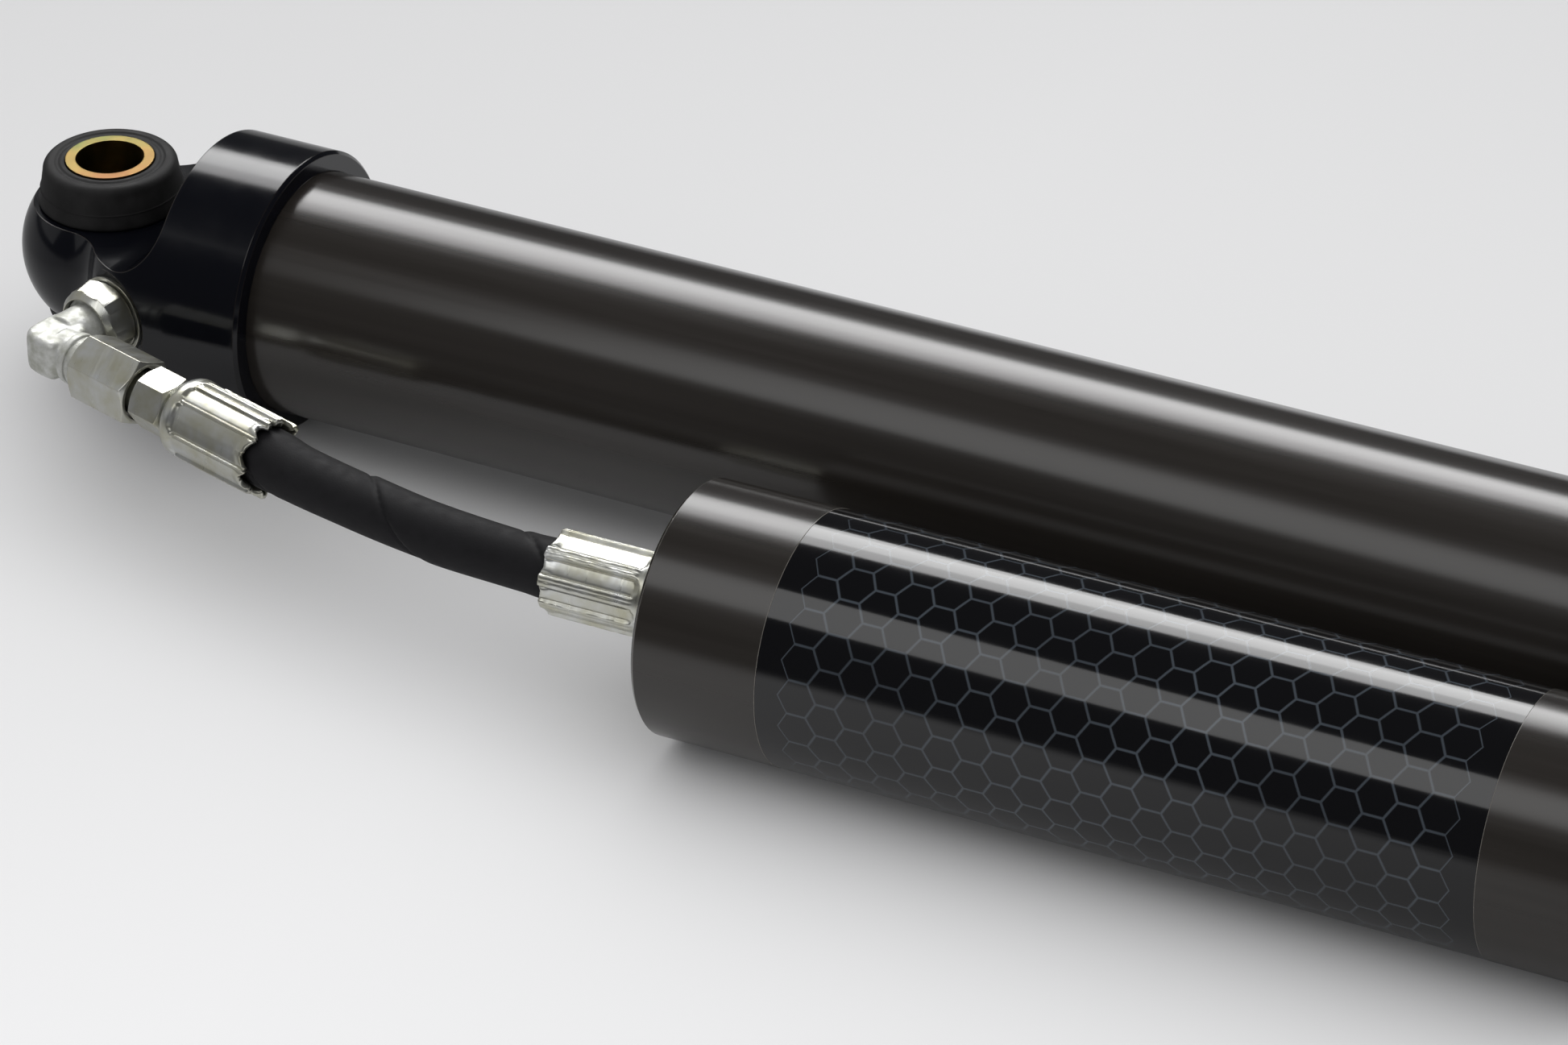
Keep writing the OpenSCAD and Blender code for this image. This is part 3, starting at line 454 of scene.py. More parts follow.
# %% [markdown]
# ## The label, rolled out flat
# The reservoir wears a glossy black film with a fine grey-blue honeycomb.
# A drawn pattern could be a picture, but here it is arithmetic, which stays
# sharp at any distance. First each point is rolled out flat: its distance
# along the tube, and its distance round it.

# %% Roll the film out
cell_rows, cell_columns = 23, 22
cell_side = 2 * math.pi * tube_radius / cell_rows / math.sqrt(3)
half_column = 0.75 * cell_side
label_middle, rows_shift = 302.4, -17.4
film_black, line_blue = (0.0035, 0.0035, 0.0042), (0.052, 0.062, 0.074)

finish, tree, shader = new_finish("label_film", film_black, 0.085)
place = tree.nodes.new("ShaderNodeTexCoord")
local = tree.nodes.new("ShaderNodeMapping")
local.vector_type = "TEXTURE"
local.inputs["Location"].default_value = (0.0, reservoir_side * MM, reservoir_height * MM)
local.inputs["Rotation"].default_value = (0.0, 0.0, reservoir_yaw)
local.inputs["Scale"].default_value = (MM, MM, MM)
tree.links.new(place.outputs["Object"], local.inputs["Vector"])
parts = tree.nodes.new("ShaderNodeSeparateXYZ")
tree.links.new(local.outputs["Vector"], parts.inputs["Vector"])
minus_y = math_node(tree, "MULTIPLY", parts.outputs["Y"], -1.0)
turn = math_node(tree, "ARCTAN2", minus_y, parts.outputs["Z"])
along = math_node(tree, "SUBTRACT", parts.outputs["X"], label_middle - half_column)
round_it = math_node(tree, "MULTIPLY_ADD", turn, tube_radius, rows_shift)
print("honeycomb cell side:", round(cell_side, 2), "mm")

# %% [markdown]
# ## The nearest cell
# A honeycomb's centres are two plain grids, one shifted by half a step both
# ways. In each grid a remainder gives the way to the nearest centre, and the
# shorter of the two ways wins. No list of cells is needed.

# %% Way to the nearest cell centre
period_along, period_round = 3 * cell_side, math.sqrt(3) * cell_side


def fold(value, period, shift):
    """Distance from the nearest grid line of one of the two grids."""
    moved = math_node(tree, "ADD", value, shift)
    wrapped = math_node(tree, "FLOORED_MODULO", moved, period)
    return math_node(tree, "SUBTRACT", wrapped, period / 2)


def squared(way):
    """Square of the length of a way along and round the tube."""
    return math_node(tree, "MULTIPLY_ADD", way[0], way[0],
                     math_node(tree, "MULTIPLY", way[1], way[1]))


grid_a, grid_b = [[fold(along, period_along, period_along * shift),
                   fold(round_it, period_round, period_round * shift)] for shift in (0.0, 0.5)]
nearer_a = math_node(tree, "LESS_THAN", squared(grid_a), squared(grid_b))
offset = []
for a, b in zip(grid_a, grid_b):
    difference = math_node(tree, "SUBTRACT", a, b)
    offset.append(math_node(tree, "MULTIPLY_ADD", difference, nearer_a, b))
print("grid steps:", round(period_along, 2), "by", round(period_round, 2), "mm")

# %% [markdown]
# ## The honeycomb's lines
# From the centre, a hexagon's wall is reached at one fixed distance, measured
# straight up or on a slant, whichever is more. A thin range at that distance
# draws the line. The pattern stops a few millimetres before the film's own
# edge, cell by cell, and the print is a little uneven.

# %% Lines on the film
line_width = 0.5
apothem = cell_side * math.sqrt(3) / 2

across = math_node(tree, "ABSOLUTE", offset[0])
upward = math_node(tree, "ABSOLUTE", offset[1])
half_up = math_node(tree, "MULTIPLY", upward, 0.5)
slanted = math_node(tree, "MULTIPLY_ADD", across, math.sqrt(3) / 2, half_up)
to_wall = math_node(tree, "MAXIMUM", upward, slanted)
line = to_range(tree, to_wall, 0.0, 1.0,
                apothem - line_width * 0.75, apothem - line_width * 0.25)
centre_x = math_node(tree, "SUBTRACT", along, offset[0])
from_middle = math_node(tree, "ABSOLUTE", math_node(tree, "SUBTRACT", centre_x, half_column))
inside = math_node(tree, "LESS_THAN", from_middle, cell_columns * half_column)
line_strength = to_range(tree, grain(tree, 25.0, 1.0), 0.55, 1.0)
shown = math_node(tree, "MULTIPLY", math_node(tree, "MULTIPLY", line, inside), line_strength)
feed(tree, shader, two_colours(tree, shown, film_black, line_blue, 0.0, 1.0),
     to_range(tree, grain(tree, 60.0, 3.0), 0.07, 0.10))
add_bump(tree, shader, grain(tree, 120.0, 1.0), 0.006)
finishes["label_black"] = finish
print("finish:", finish.name, "with", cell_rows, "rows of cells")

# %% [markdown]
# ## Bright zinc
# Nuts and ferrules are steel with a clear zinc plate. It is bright but not
# quite a mirror: its film is a little hazy, so Metallic stays just below one
# and the roughness moves between 0.27 and 0.38. The crimping jaws and the draw
# die leave fine scratches across the axis, and the passivation tints it
# faintly yellow and green in patches. Handling rubs the edges pale, and the
# same pale, warm edge colour is a painted glint along ridges and corners.

# %% Zinc plate
finish, tree, shader = new_finish("zinc_plate", (0.62, 0.63, 0.60), 0.3, 0.94)
tint = grain(tree, 170.0, 3.0)
plate_colour = two_colours(tree, tint, (0.47, 0.46, 0.36), (0.60, 0.61, 0.60))
scratches = grain(tree, 1500.0, 3.0, (1.0, 0.06, 0.06))
edge = soft_edges(tree, 0.3)
waves = add_bump(tree, shader, grain(tree, 200.0, 1.0), 0.05, edge)
add_bump(tree, shader, scratches, 0.006, waves)
# Pale warm edges: rubbed plate plus a painted glint along the ridges and corners.
rubbed_and_glint = worn_edge_mask(tree, edge, 4.0)
feed(tree, shader, laid_over(tree, rubbed_and_glint, plate_colour, (0.78, 0.74, 0.60)),
     to_range(tree, scratches, 0.27, 0.38))
finishes["fitting_zinc"] = finish
print("finish:", finish.name)

# %% [markdown]
# ## Zinc on a forged skin
# The forged elbow has the same plate on a skin that was never machined. Its
# small dents scatter the light, so it is duller, and its grain is coarser
# and mottled.

# %% Forged zinc
finish, tree, shader = new_finish("forged_zinc", (0.60, 0.61, 0.58), 0.5, 0.6)
mottle = grain(tree, 420.0, 5.0)
feed(tree, shader,
     two_colours(tree, mottle, (0.42, 0.425, 0.38), (0.60, 0.605, 0.585), 0.35, 0.65),
     to_range(tree, mottle, 0.62, 0.44))
add_bump(tree, shader, grain(tree, 800.0, 4.0), 0.1)
finishes["forged_zinc"] = finish
print("finish:", finish.name)

# %% [markdown]
# ## Yellow zinc
# The sleeves wear the older, yellow passivation. Its film is so thin that
# its colour turns with its thickness, from green through gold to orange, in
# small patches from a noise. The slow run of colour from one side of the ring
# to the other is painted light: it follows the piece's own box, green at the
# back, where the wall of the bore is lit, and orange at the front.

# %% Yellow passivation
film_green, film_gold, film_orange = (0.15, 0.17, 0.06), (0.26, 0.18, 0.06), (0.24, 0.11, 0.05)

finish, tree, shader = new_finish("yellow_zinc", (0.60, 0.42, 0.16), 0.34, 1.0)
own_box = tree.nodes.new("ShaderNodeTexCoord")
sides = tree.nodes.new("ShaderNodeSeparateXYZ")
tree.links.new(own_box.outputs["Generated"], sides.inputs["Vector"])
# Painted light: green at the back, where the bore's wall is lit, orange at the front; film adds the
# real patches to it.
towards_front = math_node(tree, "SUBTRACT", sides.outputs["X"], sides.outputs["Y"])
painted_side_light = math_node(tree, "MULTIPLY_ADD", towards_front, 0.28, 0.25)
patches = math_node(tree, "MULTIPLY", grain(tree, 140.0, 2.0), 0.5)
film = math_node(tree, "ADD", painted_side_light, patches)
hue = tree.nodes.new("ShaderNodeValToRGB")
stops = hue.color_ramp.elements
stops[0].position, stops[0].color = 0.25, (*film_green, 1.0)
stops[1].position, stops[1].color = 0.78, (*film_orange, 1.0)
stops.new(0.52).color = (*film_gold, 1.0)
tree.links.new(film, hue.inputs["Fac"])
feed(tree, shader, hue.outputs["Color"], to_range(tree, grain(tree, 300.0, 3.0), 0.28, 0.42))
add_bump(tree, shader, grain(tree, 1500.0, 2.0), 0.004, soft_edges(tree, 0.3))
finishes["sleeve_zinc"] = finish
print("finish:", finish.name)

# %% [markdown]
# ## Rubber
# Three rubbers: the matte, slightly dusty bushes, the cloth-finished cover
# of the hose, and the oiled seals, which are glossier. Rubber never mirrors
# sharply, so the specular level is low and the bump is fine. They differ only
# in numbers, so one loop makes all three from a table.

# %% Rubbers
# slot, finish, dark and light colour, lowest and highest roughness,
# scale of the grain, depth of the grain in millimetres
rubbers = (
    ("bush_rubber", "bush_rubber", (0.006, 0.0057, 0.0058), (0.014, 0.0135, 0.0137),
     0.55, 0.72, 1400.0, 0.02),
    ("hose_rubber", "hose_cover", (0.0050, 0.0047, 0.0058), (0.0085, 0.0080, 0.0095),
     0.62, 0.78, 2600.0, 0.03),
    ("seal_rubber", "seal_rubber", (0.006, 0.006, 0.0065), (0.010, 0.010, 0.010),
     0.28, 0.42, 900.0, 0.01),
)
for slot_name, name, dark, light, smooth, matte, size, depth in rubbers:
    finish, tree, shader = new_finish(name, dark, matte, 0.0, 0.22)
    dust = grain(tree, size / 8, 4.0)
    feed(tree, shader, two_colours(tree, dust, dark, light), to_range(tree, dust, smooth, matte))
    add_bump(tree, shader, grain(tree, size, 2.0), depth, soft_edges(tree, 0.4))
    finishes[slot_name] = finish
print("rubbers:", [row[1] for row in rubbers])

# %% [markdown]
# ## The metals inside and behind
# The rod is ground and chromed, so it mirrors the room with hair-fine rings
# from the grinding wheel. Piston, bushings and nuts are turned, and turning
# leaves rings too: a noise that is squeezed along the axis makes them.

# %% Turned and ground metals
# slot, finish, dark and light colour, lowest and highest roughness,
# depth of the rings in millimetres
metals = (
    ("rod_chrome", "hard_chrome", (0.70, 0.71, 0.72), (0.76, 0.77, 0.78), 0.05, 0.10, 0.0006),
    ("piston_metal", "turned_aluminium", (0.58, 0.58, 0.58), (0.72, 0.72, 0.71),
     0.22, 0.36, 0.008),
    ("band_bronze", "bronze_filled_band", (0.16, 0.10, 0.05), (0.24, 0.15, 0.08),
     0.45, 0.6, 0.004),
    ("bushing_bronze", "bushing_bronze", (0.45, 0.28, 0.12), (0.60, 0.40, 0.2),
     0.3, 0.42, 0.004),
    ("plain_steel", "plain_steel", (0.38, 0.38, 0.385), (0.50, 0.50, 0.50), 0.3, 0.45, 0.006),
    ("valve_brass", "nickel_brass", (0.62, 0.52, 0.30), (0.74, 0.64, 0.42), 0.2, 0.34, 0.004),
)
for slot_name, name, dark, light, smooth, matte, depth in metals:
    finish, tree, shader = new_finish(name, dark, matte, 1.0)
    rings = grain(tree, 6000.0, 2.0, (1.0, 0.01, 0.01))
    feed(tree, shader, two_colours(tree, grain(tree, 300.0, 3.0), dark, light),
         to_range(tree, rings, smooth, matte))
    add_bump(tree, shader, rings, depth, soft_edges(tree, 0.25))
    finishes[slot_name] = finish
print("metals:", [row[1] for row in metals])

# %% [markdown]
# ## Moulded plastic
# Only the valve's dust cap is plastic. A mould leaves its own fine texture
# on it, so a small bump and an uneven roughness are enough.

# %% Plastic of the dust cap
finish, tree, shader = new_finish("valve_cap_plastic", (0.010, 0.010, 0.011), 0.42)
add_bump(tree, shader, grain(tree, 2200.0, 2.0), 0.01, soft_edges(tree, 0.3))
feed(tree, shader, roughness=to_range(tree, grain(tree, 500.0), 0.36, 0.5))
finishes["valve_cap_plastic"] = finish
print("finish:", finish.name)

# %% [markdown]
# ## Skins made of rings
# The soft and crimped pieces are all rings at heart: a profile turned round
# an axis, then disturbed. A modeller could lathe them and sculpt the rest,
# but a rule is tidier than a brush here. So a piece is a list of rings of
# points, each ring is moved by a small rule for that piece, and one helper
# sews the rings together. The last ring joins the first, as in a doughnut,
# because almost every one of these pieces has a hole through it.

# %% Rings and skins


def turned_rings(profile, around, rule=None):
    """Rings of points in mm about the X axis, from (x, radius) stations."""
    rings = []
    for x, radius in profile:
        ring = []
        for step in range(around):
            angle = 2 * math.pi * step / around
            new_x, new_radius = rule(x, radius, angle) if rule else (x, radius)
            ring.append(Vector((new_x, new_radius * math.cos(angle), new_radius * math.sin(angle))))
        rings.append(ring)
    return rings


def sew(rings, into=None):
    """Adds the skin of these rings to a bmesh."""
    skin = into or bmesh.new()
    grid = [[skin.verts.new(point) for point in ring] for ring in rings]
    count = len(grid[0])
    for i, ring in enumerate(grid):
        following = grid[(i + 1) % len(grid)]
        for j in range(count):
            k = (j + 1) % count
            skin.faces.new((ring[j], ring[k], following[k], following[j]))
    return skin


print("ring helpers ready")

# %% [markdown]
# ## From a skin to a piece
# A skin is made in millimetres about its own axis, because that is how such
# a part is drawn. This helper closes it, carries it to its place in metres,
# smooths it but for its sharp edges, and hides the solids it stands for.

# %% Finish a piece
in_metres = Matrix.Scale(MM, 4)


def finish_piece(skin, name, frame_matrix, slot_name, body, *nodes, crease=35.0, finish_name=None):
    """Turns a bmesh in mm into a shown piece that stands for solid nodes."""
    bmesh.ops.remove_doubles(skin, verts=skin.verts, dist=1e-4)
    bmesh.ops.recalc_face_normals(skin, faces=skin.faces)
    skin.transform(in_metres @ frame_matrix)
    mesh = bpy.data.meshes.new(name)
    skin.to_mesh(mesh)
    skin.free()
    mesh.shade_smooth()
    mesh.set_sharp_from_angle(angle=math.radians(crease))
    mesh.materials.append(finishes[finish_name or slot_name])
    piece = bpy.data.objects.new(name, mesh)
    bpy.context.scene.collection.objects.link(piece)
    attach(piece, body)
    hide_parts(*nodes)
    print(name, "has", len(mesh.polygons), "faces")


print("piece helper ready")

# %% [markdown]
# ## Stations of a profile
# A profile is drawn as a turner would: straight runs and round corners. The
# corners need several stations each, so that they shade as round, and the
# runs need some too where a rule will move them.

# %% Arcs, runs and eased steps


def rounded(centre_x, centre_radius, size, start, end, steps=7):
    """Stations along an arc; 0 degrees points along +X, 90 away from the axis."""
    stations = []
    for step in range(steps):
        angle = math.radians(start + (end - start) * step / (steps - 1))
        stations.append((centre_x + size * math.cos(angle), centre_radius + size * math.sin(angle)))
    return stations


def evenly(first, last, steps):
    """Stations along a straight line between two, without the last."""
    return [(first[0] + (last[0] - first[0]) * step / steps,
             first[1] + (last[1] - first[1]) * step / steps) for step in range(steps)]


def ease(value, low, high):
    """0 below low, 1 above high, and a smooth rise between."""
    share = min(1.0, max(0.0, (value - low) / (high - low)))
    return share * share * (3 - 2 * share)


print("half-way eased:", ease(0.5, 0.0, 1.0))

# %% [markdown]
# ## The crimp
# A ferrule is a smooth steel cup until the crimping press closes its jaws on
# it. Each jaw leaves a flat, and between two jaws a fold of metal squeezes
# out, with a fine groove on either side and a crease along its crown. It
# could be carved with eight boxes, but the flats would be too perfect. This
# rule gives the pressed radius for every angle, with a faint ripple.

# %% Radius under the jaws
ferrule_length, ferrule_radius = 28.0, 9.4
jaw_radius, jaw_low, jaw_mean, flat_share, round_share = 9.35, 8.45, 8.85, 0.45, 0.55
fold_top_radius, fold_fall, crown_crease, crown_width = 9.72, 0.0016, 0.16, 1.3
groove_depth, groove_place, groove_width = 0.2, 0.9, 0.8
flat_ripple, ripple_lost_on_jaws, ripple_pace = 0.1, 0.09, 1.1


def pressed_radius(x, angle, half_span, off_flat, to_crown, beyond_fold):
    """Radius that the jaws leave; the last four are in degrees of turn."""
    flat = min(jaw_radius * math.cos(math.radians(half_span)) / math.cos(math.radians(off_flat)),
               jaw_radius)
    flat = flat_share * max(flat, jaw_low) + round_share * jaw_mean
    fold_top = (fold_top_radius - fold_fall * to_crown ** 2
                - crown_crease * math.exp(-(to_crown / crown_width) ** 2))
    pressed = flat + (fold_top - flat) * (1 - ease(beyond_fold, -2.2, 0.6))
    pressed -= groove_depth * math.exp(-((beyond_fold - groove_place) / groove_width) ** 2)
    ripple = noise.noise(Vector((x * ripple_pace, 9 * math.cos(angle), 9 * math.sin(angle))))
    return pressed + ripple * (flat_ripple - ripple_lost_on_jaws * ease(beyond_fold, -2.0, 2.0))


print("ferrule:", ferrule_length, "mm long,", 2 * ferrule_radius, "mm across before the press")

# %% [markdown]
# ## Folds and teeth
# The press never closes quite evenly, so each fold has its own place and
# width. The metal also creeps lengthwise, most along the folds, so the mouth
# ends in rounded teeth, and its lip flares a little. The teeth come from
# moving points along the axis, not from cutting.

# %% Crimp rule
hose_radius, hose_bore = 6.65, 3.2
outer_skin_above = hose_radius + 0.8
tooth_run, lip_run, lip_height = 8.0, 3.0, 0.35


def crimp_rule(folds, tooth, jaw_start, seed):
    """Rule that presses a ferrule's rings.

    Each fold is (angle of its crown, half its width), in degrees.
    """
    dice = random.Random(seed)
    crowns = sorted((angle % 360, width, dice.uniform(0.7, 1.3)) for angle, width in folds)

    def crimp(x, radius, angle):
        degrees = math.degrees(angle) % 360
        after = next((i for i, fold in enumerate(crowns) if fold[0] > degrees), 0)
        before = (after - 1) % len(crowns)
        to_next = (crowns[after][0] - degrees) % 360
        from_last = (degrees - crowns[before][0]) % 360
        _, fold_width, creep = crowns[after] if to_next < from_last else crowns[before]
        half_span = (to_next + from_last) / 2
        to_crown = min(to_next, from_last)
        beyond_fold = to_crown - fold_width
        mouth = ease(x, ferrule_length - tooth_run, ferrule_length)
        hollow = tooth * creep * ease(beyond_fold, -1.0, max(2.0, (half_span - fold_width) * 0.8))
        if radius > outer_skin_above:
            pressed = pressed_radius(x, angle, half_span, (from_last - to_next) / 2,
                                     to_crown, beyond_fold)
            jaw_edge = jaw_start + 0.8 * (1 - ease(beyond_fold, 0.0, 8.0))
            lip = (lip_height * ease(x, ferrule_length - lip_run, ferrule_length - 0.5)
                   * ease(beyond_fold, 0.0, 6.0))
            shaped = pressed + lip - max(0.0, ferrule_radius - radius)
            radius = radius + (shaped - radius) * ease(x, jaw_edge - 0.8, jaw_edge + 0.5)
        return x - hollow * mouth, min(radius, ferrule_radius + 0.5)

    return crimp


print("hose:", 2 * hose_radius, "mm across")

# %% [markdown]
# ## The two ferrules
# Both ferrules are the same cup: a rounded shoulder at the stem, a long
# barrel, and a mouth that bites the hose. Only the press differed, so one
# profile is turned twice, each time under its own list of folds.

# %% Ferrules
end_wall, stem_hole = 3.4, 5.05
bite = hose_radius + 0.06


def ferrule_skin(folds, tooth, shoulder_radius, jaw_start, seed):
    """A crimped ferrule along +X: shoulder at 0, toothed mouth at the far end."""
    length, outside = ferrule_length, ferrule_radius
    profile = [(0.0, stem_hole), (0.0, 5.6)]
    profile += rounded(shoulder_radius, outside - shoulder_radius, shoulder_radius, 180, 90, 9)
    profile += evenly((shoulder_radius + 0.2, outside), (6.0, outside), 12)
    profile += evenly((6.0, outside), (length - 3, outside), 28)
    profile += evenly((length - 3, outside), (length - 0.25, outside), 7)
    profile += [(length - 0.25, outside), (length, outside - 0.25),
                (length, outside - 0.9), (length - 0.2, outside - 1.15)]
    profile += evenly((length - 1.0, outside - 1.3), (length - 6, hose_radius + 0.1), 6)
    profile += [(length - 6, bite), (end_wall, bite), (end_wall, stem_hole)]
    return sew(turned_rings(profile, 360, crimp_rule(folds, tooth, jaw_start, seed)))


folds_at_elbow = ((122.5, 1.8), (174.0, 2.2), (91.0, 3.5), (72.0, 6.5), (28.0, 6.0),
                  (343.0, 6.0), (298.0, 6.0), (253.0, 5.0), (214.0, 3.0))
folds_at_reservoir = ((109.0, 6.0), (59.5, 8.5), (18.5, 9.0), (340.0, 8.0), (296.0, 8.0),
                      (251.0, 8.0), (206.0, 8.0), (160.0, 7.0))
half_turn = Matrix.Rotation(math.pi, 4, "Z")
finish_piece(ferrule_skin(folds_at_elbow, 1.8, 3.0, 4.4, 3), "crimped_ferrule_at_elbow",
             elbow_frame @ Matrix.Translation((42.3, 0, 0)),
             "fitting_zinc", "body", "elbow_ferrule", crease=50)
finish_piece(ferrule_skin(folds_at_reservoir, 0.45, 1.5, 4.9, 11), "crimped_ferrule_at_reservoir",
             reservoir_frame @ Matrix.Translation((187.5, 0, 0)) @ half_turn,
             "fitting_zinc", "body", "reservoir_ferrule", crease=50)

# %% [markdown]
# ## Hexagons with trimmed corners
# A plain hexagonal prism looks like a toy nut. A real one is turned at both
# ends before it is cut, so a shallow cone trims its corners, and where the
# cone meets each flat it draws a curved line. Here every ring's radius is
# the smaller of the hexagon's and the cone's, which draws those lines by
# itself.

# %% Hexagon rule
cone_slope = 1 / math.tan(math.radians(30))


def hexagon_rule(start, end, across_flats, smallest, cone_foot=0.485, slope=cone_slope, lift=0.0):
    """Rule that gives stations above a radius a hexagon with trimmed corners.

    The cone's foot is a share of the width across flats, and the lift makes
    the trim at the far end smaller than at the start.
    """
    def trim(x, radius, angle):
        if radius <= smallest:
            return x, radius
        off_flat = (math.degrees(angle) + 30) % 60 - 30
        hexagon = across_flats / 2 / math.cos(math.radians(off_flat))
        cone = across_flats * cone_foot + min((x - start) * slope, (end - x) * slope + lift)
        return x, min(hexagon, cone, radius)
    return trim


def nut_stations(start, end, across_flats):
    """Stations along a nut's outside, close together where its corners are trimmed."""
    corner = across_flats / math.sqrt(3)
    steps = (0.0, 0.12, 0.25, 0.4, 0.55, 0.7, 0.9, 1.2, 1.6)
    return ([(start + step, corner) for step in steps]
            + [(end - step, corner) for step in reversed(steps)])


print("trim of a nut's corners:", round(math.degrees(math.atan(1 / cone_slope))), "degrees")

# %% [markdown]
# ## The two nuts
# The lock nut holds the elbow in the cap's port, and the swivel nut holds the
# hose on the elbow. A nut stops wherever it is tight, so each has its own
# turn. The lock nut's corners are trimmed much further on its outer side.

# %% Nuts
port_frame = elbow_frame @ Matrix.Rotation(math.pi / 2, 4, "Z")
counterbore_width, counterbore_depth = 0.9, 2.0

# piece, frame, start, end, across flats, hole's radius, turn, trim, solid
nuts = (("lock_nut_hex", port_frame, 10.0, 17.6, 17.0, 7.2, 34.5, (0.44, 0.85, 1.1), "lock_nut"),
        ("swivel_nut_hex", elbow_frame, 12.2, 30.0, 14.8, 5.6, 3.8, (), "swivel_nut"))
for name, nut_frame, start, end, across_flats, hole, nut_turn, cone, node_name in nuts:
    profile = [(start, hole)] + nut_stations(start, end, across_flats)
    counterbore = min(hole + counterbore_width, across_flats * 0.45)
    profile += [(end, counterbore), (end - counterbore_depth, counterbore),
                (end - counterbore_depth, hole)]
    rule = hexagon_rule(start, end, across_flats, hole + 0.2, *cone)
    finish_piece(sew(turned_rings(profile, 180, rule)), name,
                 nut_frame @ Matrix.Rotation(math.radians(nut_turn), 4, "X"),
                 "fitting_zinc", "body", node_name, crease=30)

# %% [markdown]
# ## The stem's hexagon
# The hose ends in a steel stem. Its hexagon, which a spanner holds while the
# swivel nut turns, is the only part of it that shows: the rest hides in the
# nut and in the ferrule.

# %% Stem
stem_hex, stem_flats, stem_turn = (31.3, 40.7), 12.9, 33.0
stem_bore, nose_radius, stem_neck, barb_radius = 2.2, 4.6, 5.0, 3.15
stem_start, barb_start, stem_end = 24.0, 45.7, 67.0
profile = ([(stem_start, stem_bore), (stem_start, nose_radius), (stem_hex[0], nose_radius)]
           + nut_stations(*stem_hex, stem_flats)
           + [(stem_hex[1], stem_neck), (barb_start, stem_neck), (barb_start, barb_radius),
              (stem_end, barb_radius), (stem_end, stem_bore)])
finish_piece(sew(turned_rings(profile, 180, hexagon_rule(*stem_hex, stem_flats, stem_neck + 0.5))),
             "stem_hex", elbow_frame @ Matrix.Rotation(math.radians(stem_turn), 4, "X"),
             "fitting_zinc", "body", "elbow_stem", crease=30)

# %% [markdown]
# ## The hose's route
# The hose is held at both ends, so it can't lie where it likes: it runs
# straight out of each ferrule and takes its corner in one arc. A curve with
# handles could be bent to fit, but two lines and an arc are exact, and they
# give the hose's length as well.

# %% Route of the hose
hose_bend_radius = 300.0
hose_start, hose_end = 45.7, 184.1

turn_angle = outlet_run.angle(axis_run)
tangent_length = hose_bend_radius * math.tan(turn_angle / 2)
bend_side = (axis_run - outlet_run * axis_run.dot(outlet_run)).normalized()
bend_axis = outlet_run.cross(bend_side)
meeting_on_axis = (meeting - Vector((0, reservoir_side, reservoir_height))).dot(axis_run)
first_run = (meeting - elbow_corner).length - tangent_length - hose_start
arc_run = hose_bend_radius * turn_angle
last_run = hose_end - meeting_on_axis - tangent_length
hose_length = first_run + arc_run + last_run


def hose_point(distance):
    """Centre, direction and side of the hose at a distance from its first end."""
    if distance <= first_run:
        return elbow_corner + outlet_run * (hose_start + distance), outlet_run, bend_side
    bend_begins = meeting - outlet_run * tangent_length
    centre = bend_begins + bend_side * hose_bend_radius
    swept = min(distance - first_run, arc_run) / hose_bend_radius
    turning = Matrix.Rotation(swept, 3, bend_axis)
    direction, side = turning @ outlet_run, turning @ bend_side
    point = centre - side * hose_bend_radius
    return point + direction * max(0.0, distance - first_run - arc_run), direction, side


print("hose:", round(hose_length, 1), "mm long, of which",
      round(hose_length - 2 * (ferrule_length - end_wall), 1), "mm show")

# %% [markdown]
# ## The hose's cover
# The rubber cover was wrapped in tape and cured, which leaves a long spiral
# seam with a low step, and where the ferrule bites, the rubber swells out of
# the mouth. Inside the ferrules it is squeezed to its bare size.

# %% Radius of the cover
seam_pitch, seam_shift, seam_depth, seam_width, ply_step = 42.0, 22.0, 0.42, 0.9, 0.32
squeeze, grip_run = 0.06, 5.0
first_mouth = ferrule_length - end_wall
last_mouth = hose_length - first_mouth


def cover_radius(distance, angle):
    """Radius of the cover, with its seam, its step and its swollen ends."""
    if distance < first_mouth - grip_run or distance > last_mouth + grip_run:
        return hose_radius - squeeze
    behind_seam = ((distance - first_mouth - seam_shift) / seam_pitch - angle / (2 * math.pi)) % 1.0
    along_seam = min(behind_seam, 1 - behind_seam) * seam_pitch
    step = ply_step * (1 - ease(behind_seam, 0.0, 0.45)) - ply_step / 2
    groove = seam_depth * math.exp(-(along_seam / seam_width) ** 2)
    swelling = (0.55 * (1 - ease(distance, first_mouth + 0.5, first_mouth + 9))
                + 0.3 * ease(distance, last_mouth - 7, last_mouth - 0.5))
    grip = 1 - (ease(distance, first_mouth - grip_run, first_mouth)
                * (1 - ease(distance, last_mouth, last_mouth + grip_run)))
    return hose_radius + (step - groove + swelling) * (1 - grip) - squeeze * grip


print("cover's radius where the seam is lowest:",
      round(cover_radius(first_mouth + seam_shift, 0.0), 2), "mm")

# %% [markdown]
# ## The hose's skin
# The cover is sewn from rings along the route, close together outside, so
# that the seam stays sharp, and far apart in the bore, which nobody sees.

# %% Hose cover
hose_steps, hose_around, bore_stride = 260, 112, 20


def hose_ring(station, radius_at):
    """Ring of points round the hose at one of its stations."""
    distance = hose_length * station / hose_steps
    centre, direction, side = hose_point(distance)
    upright_side = direction.cross(side)
    turns = [2 * math.pi * k / hose_around for k in range(hose_around)]
    return [centre + (side * math.cos(angle) + upright_side * math.sin(angle))
            * radius_at(distance, angle) for angle in turns]


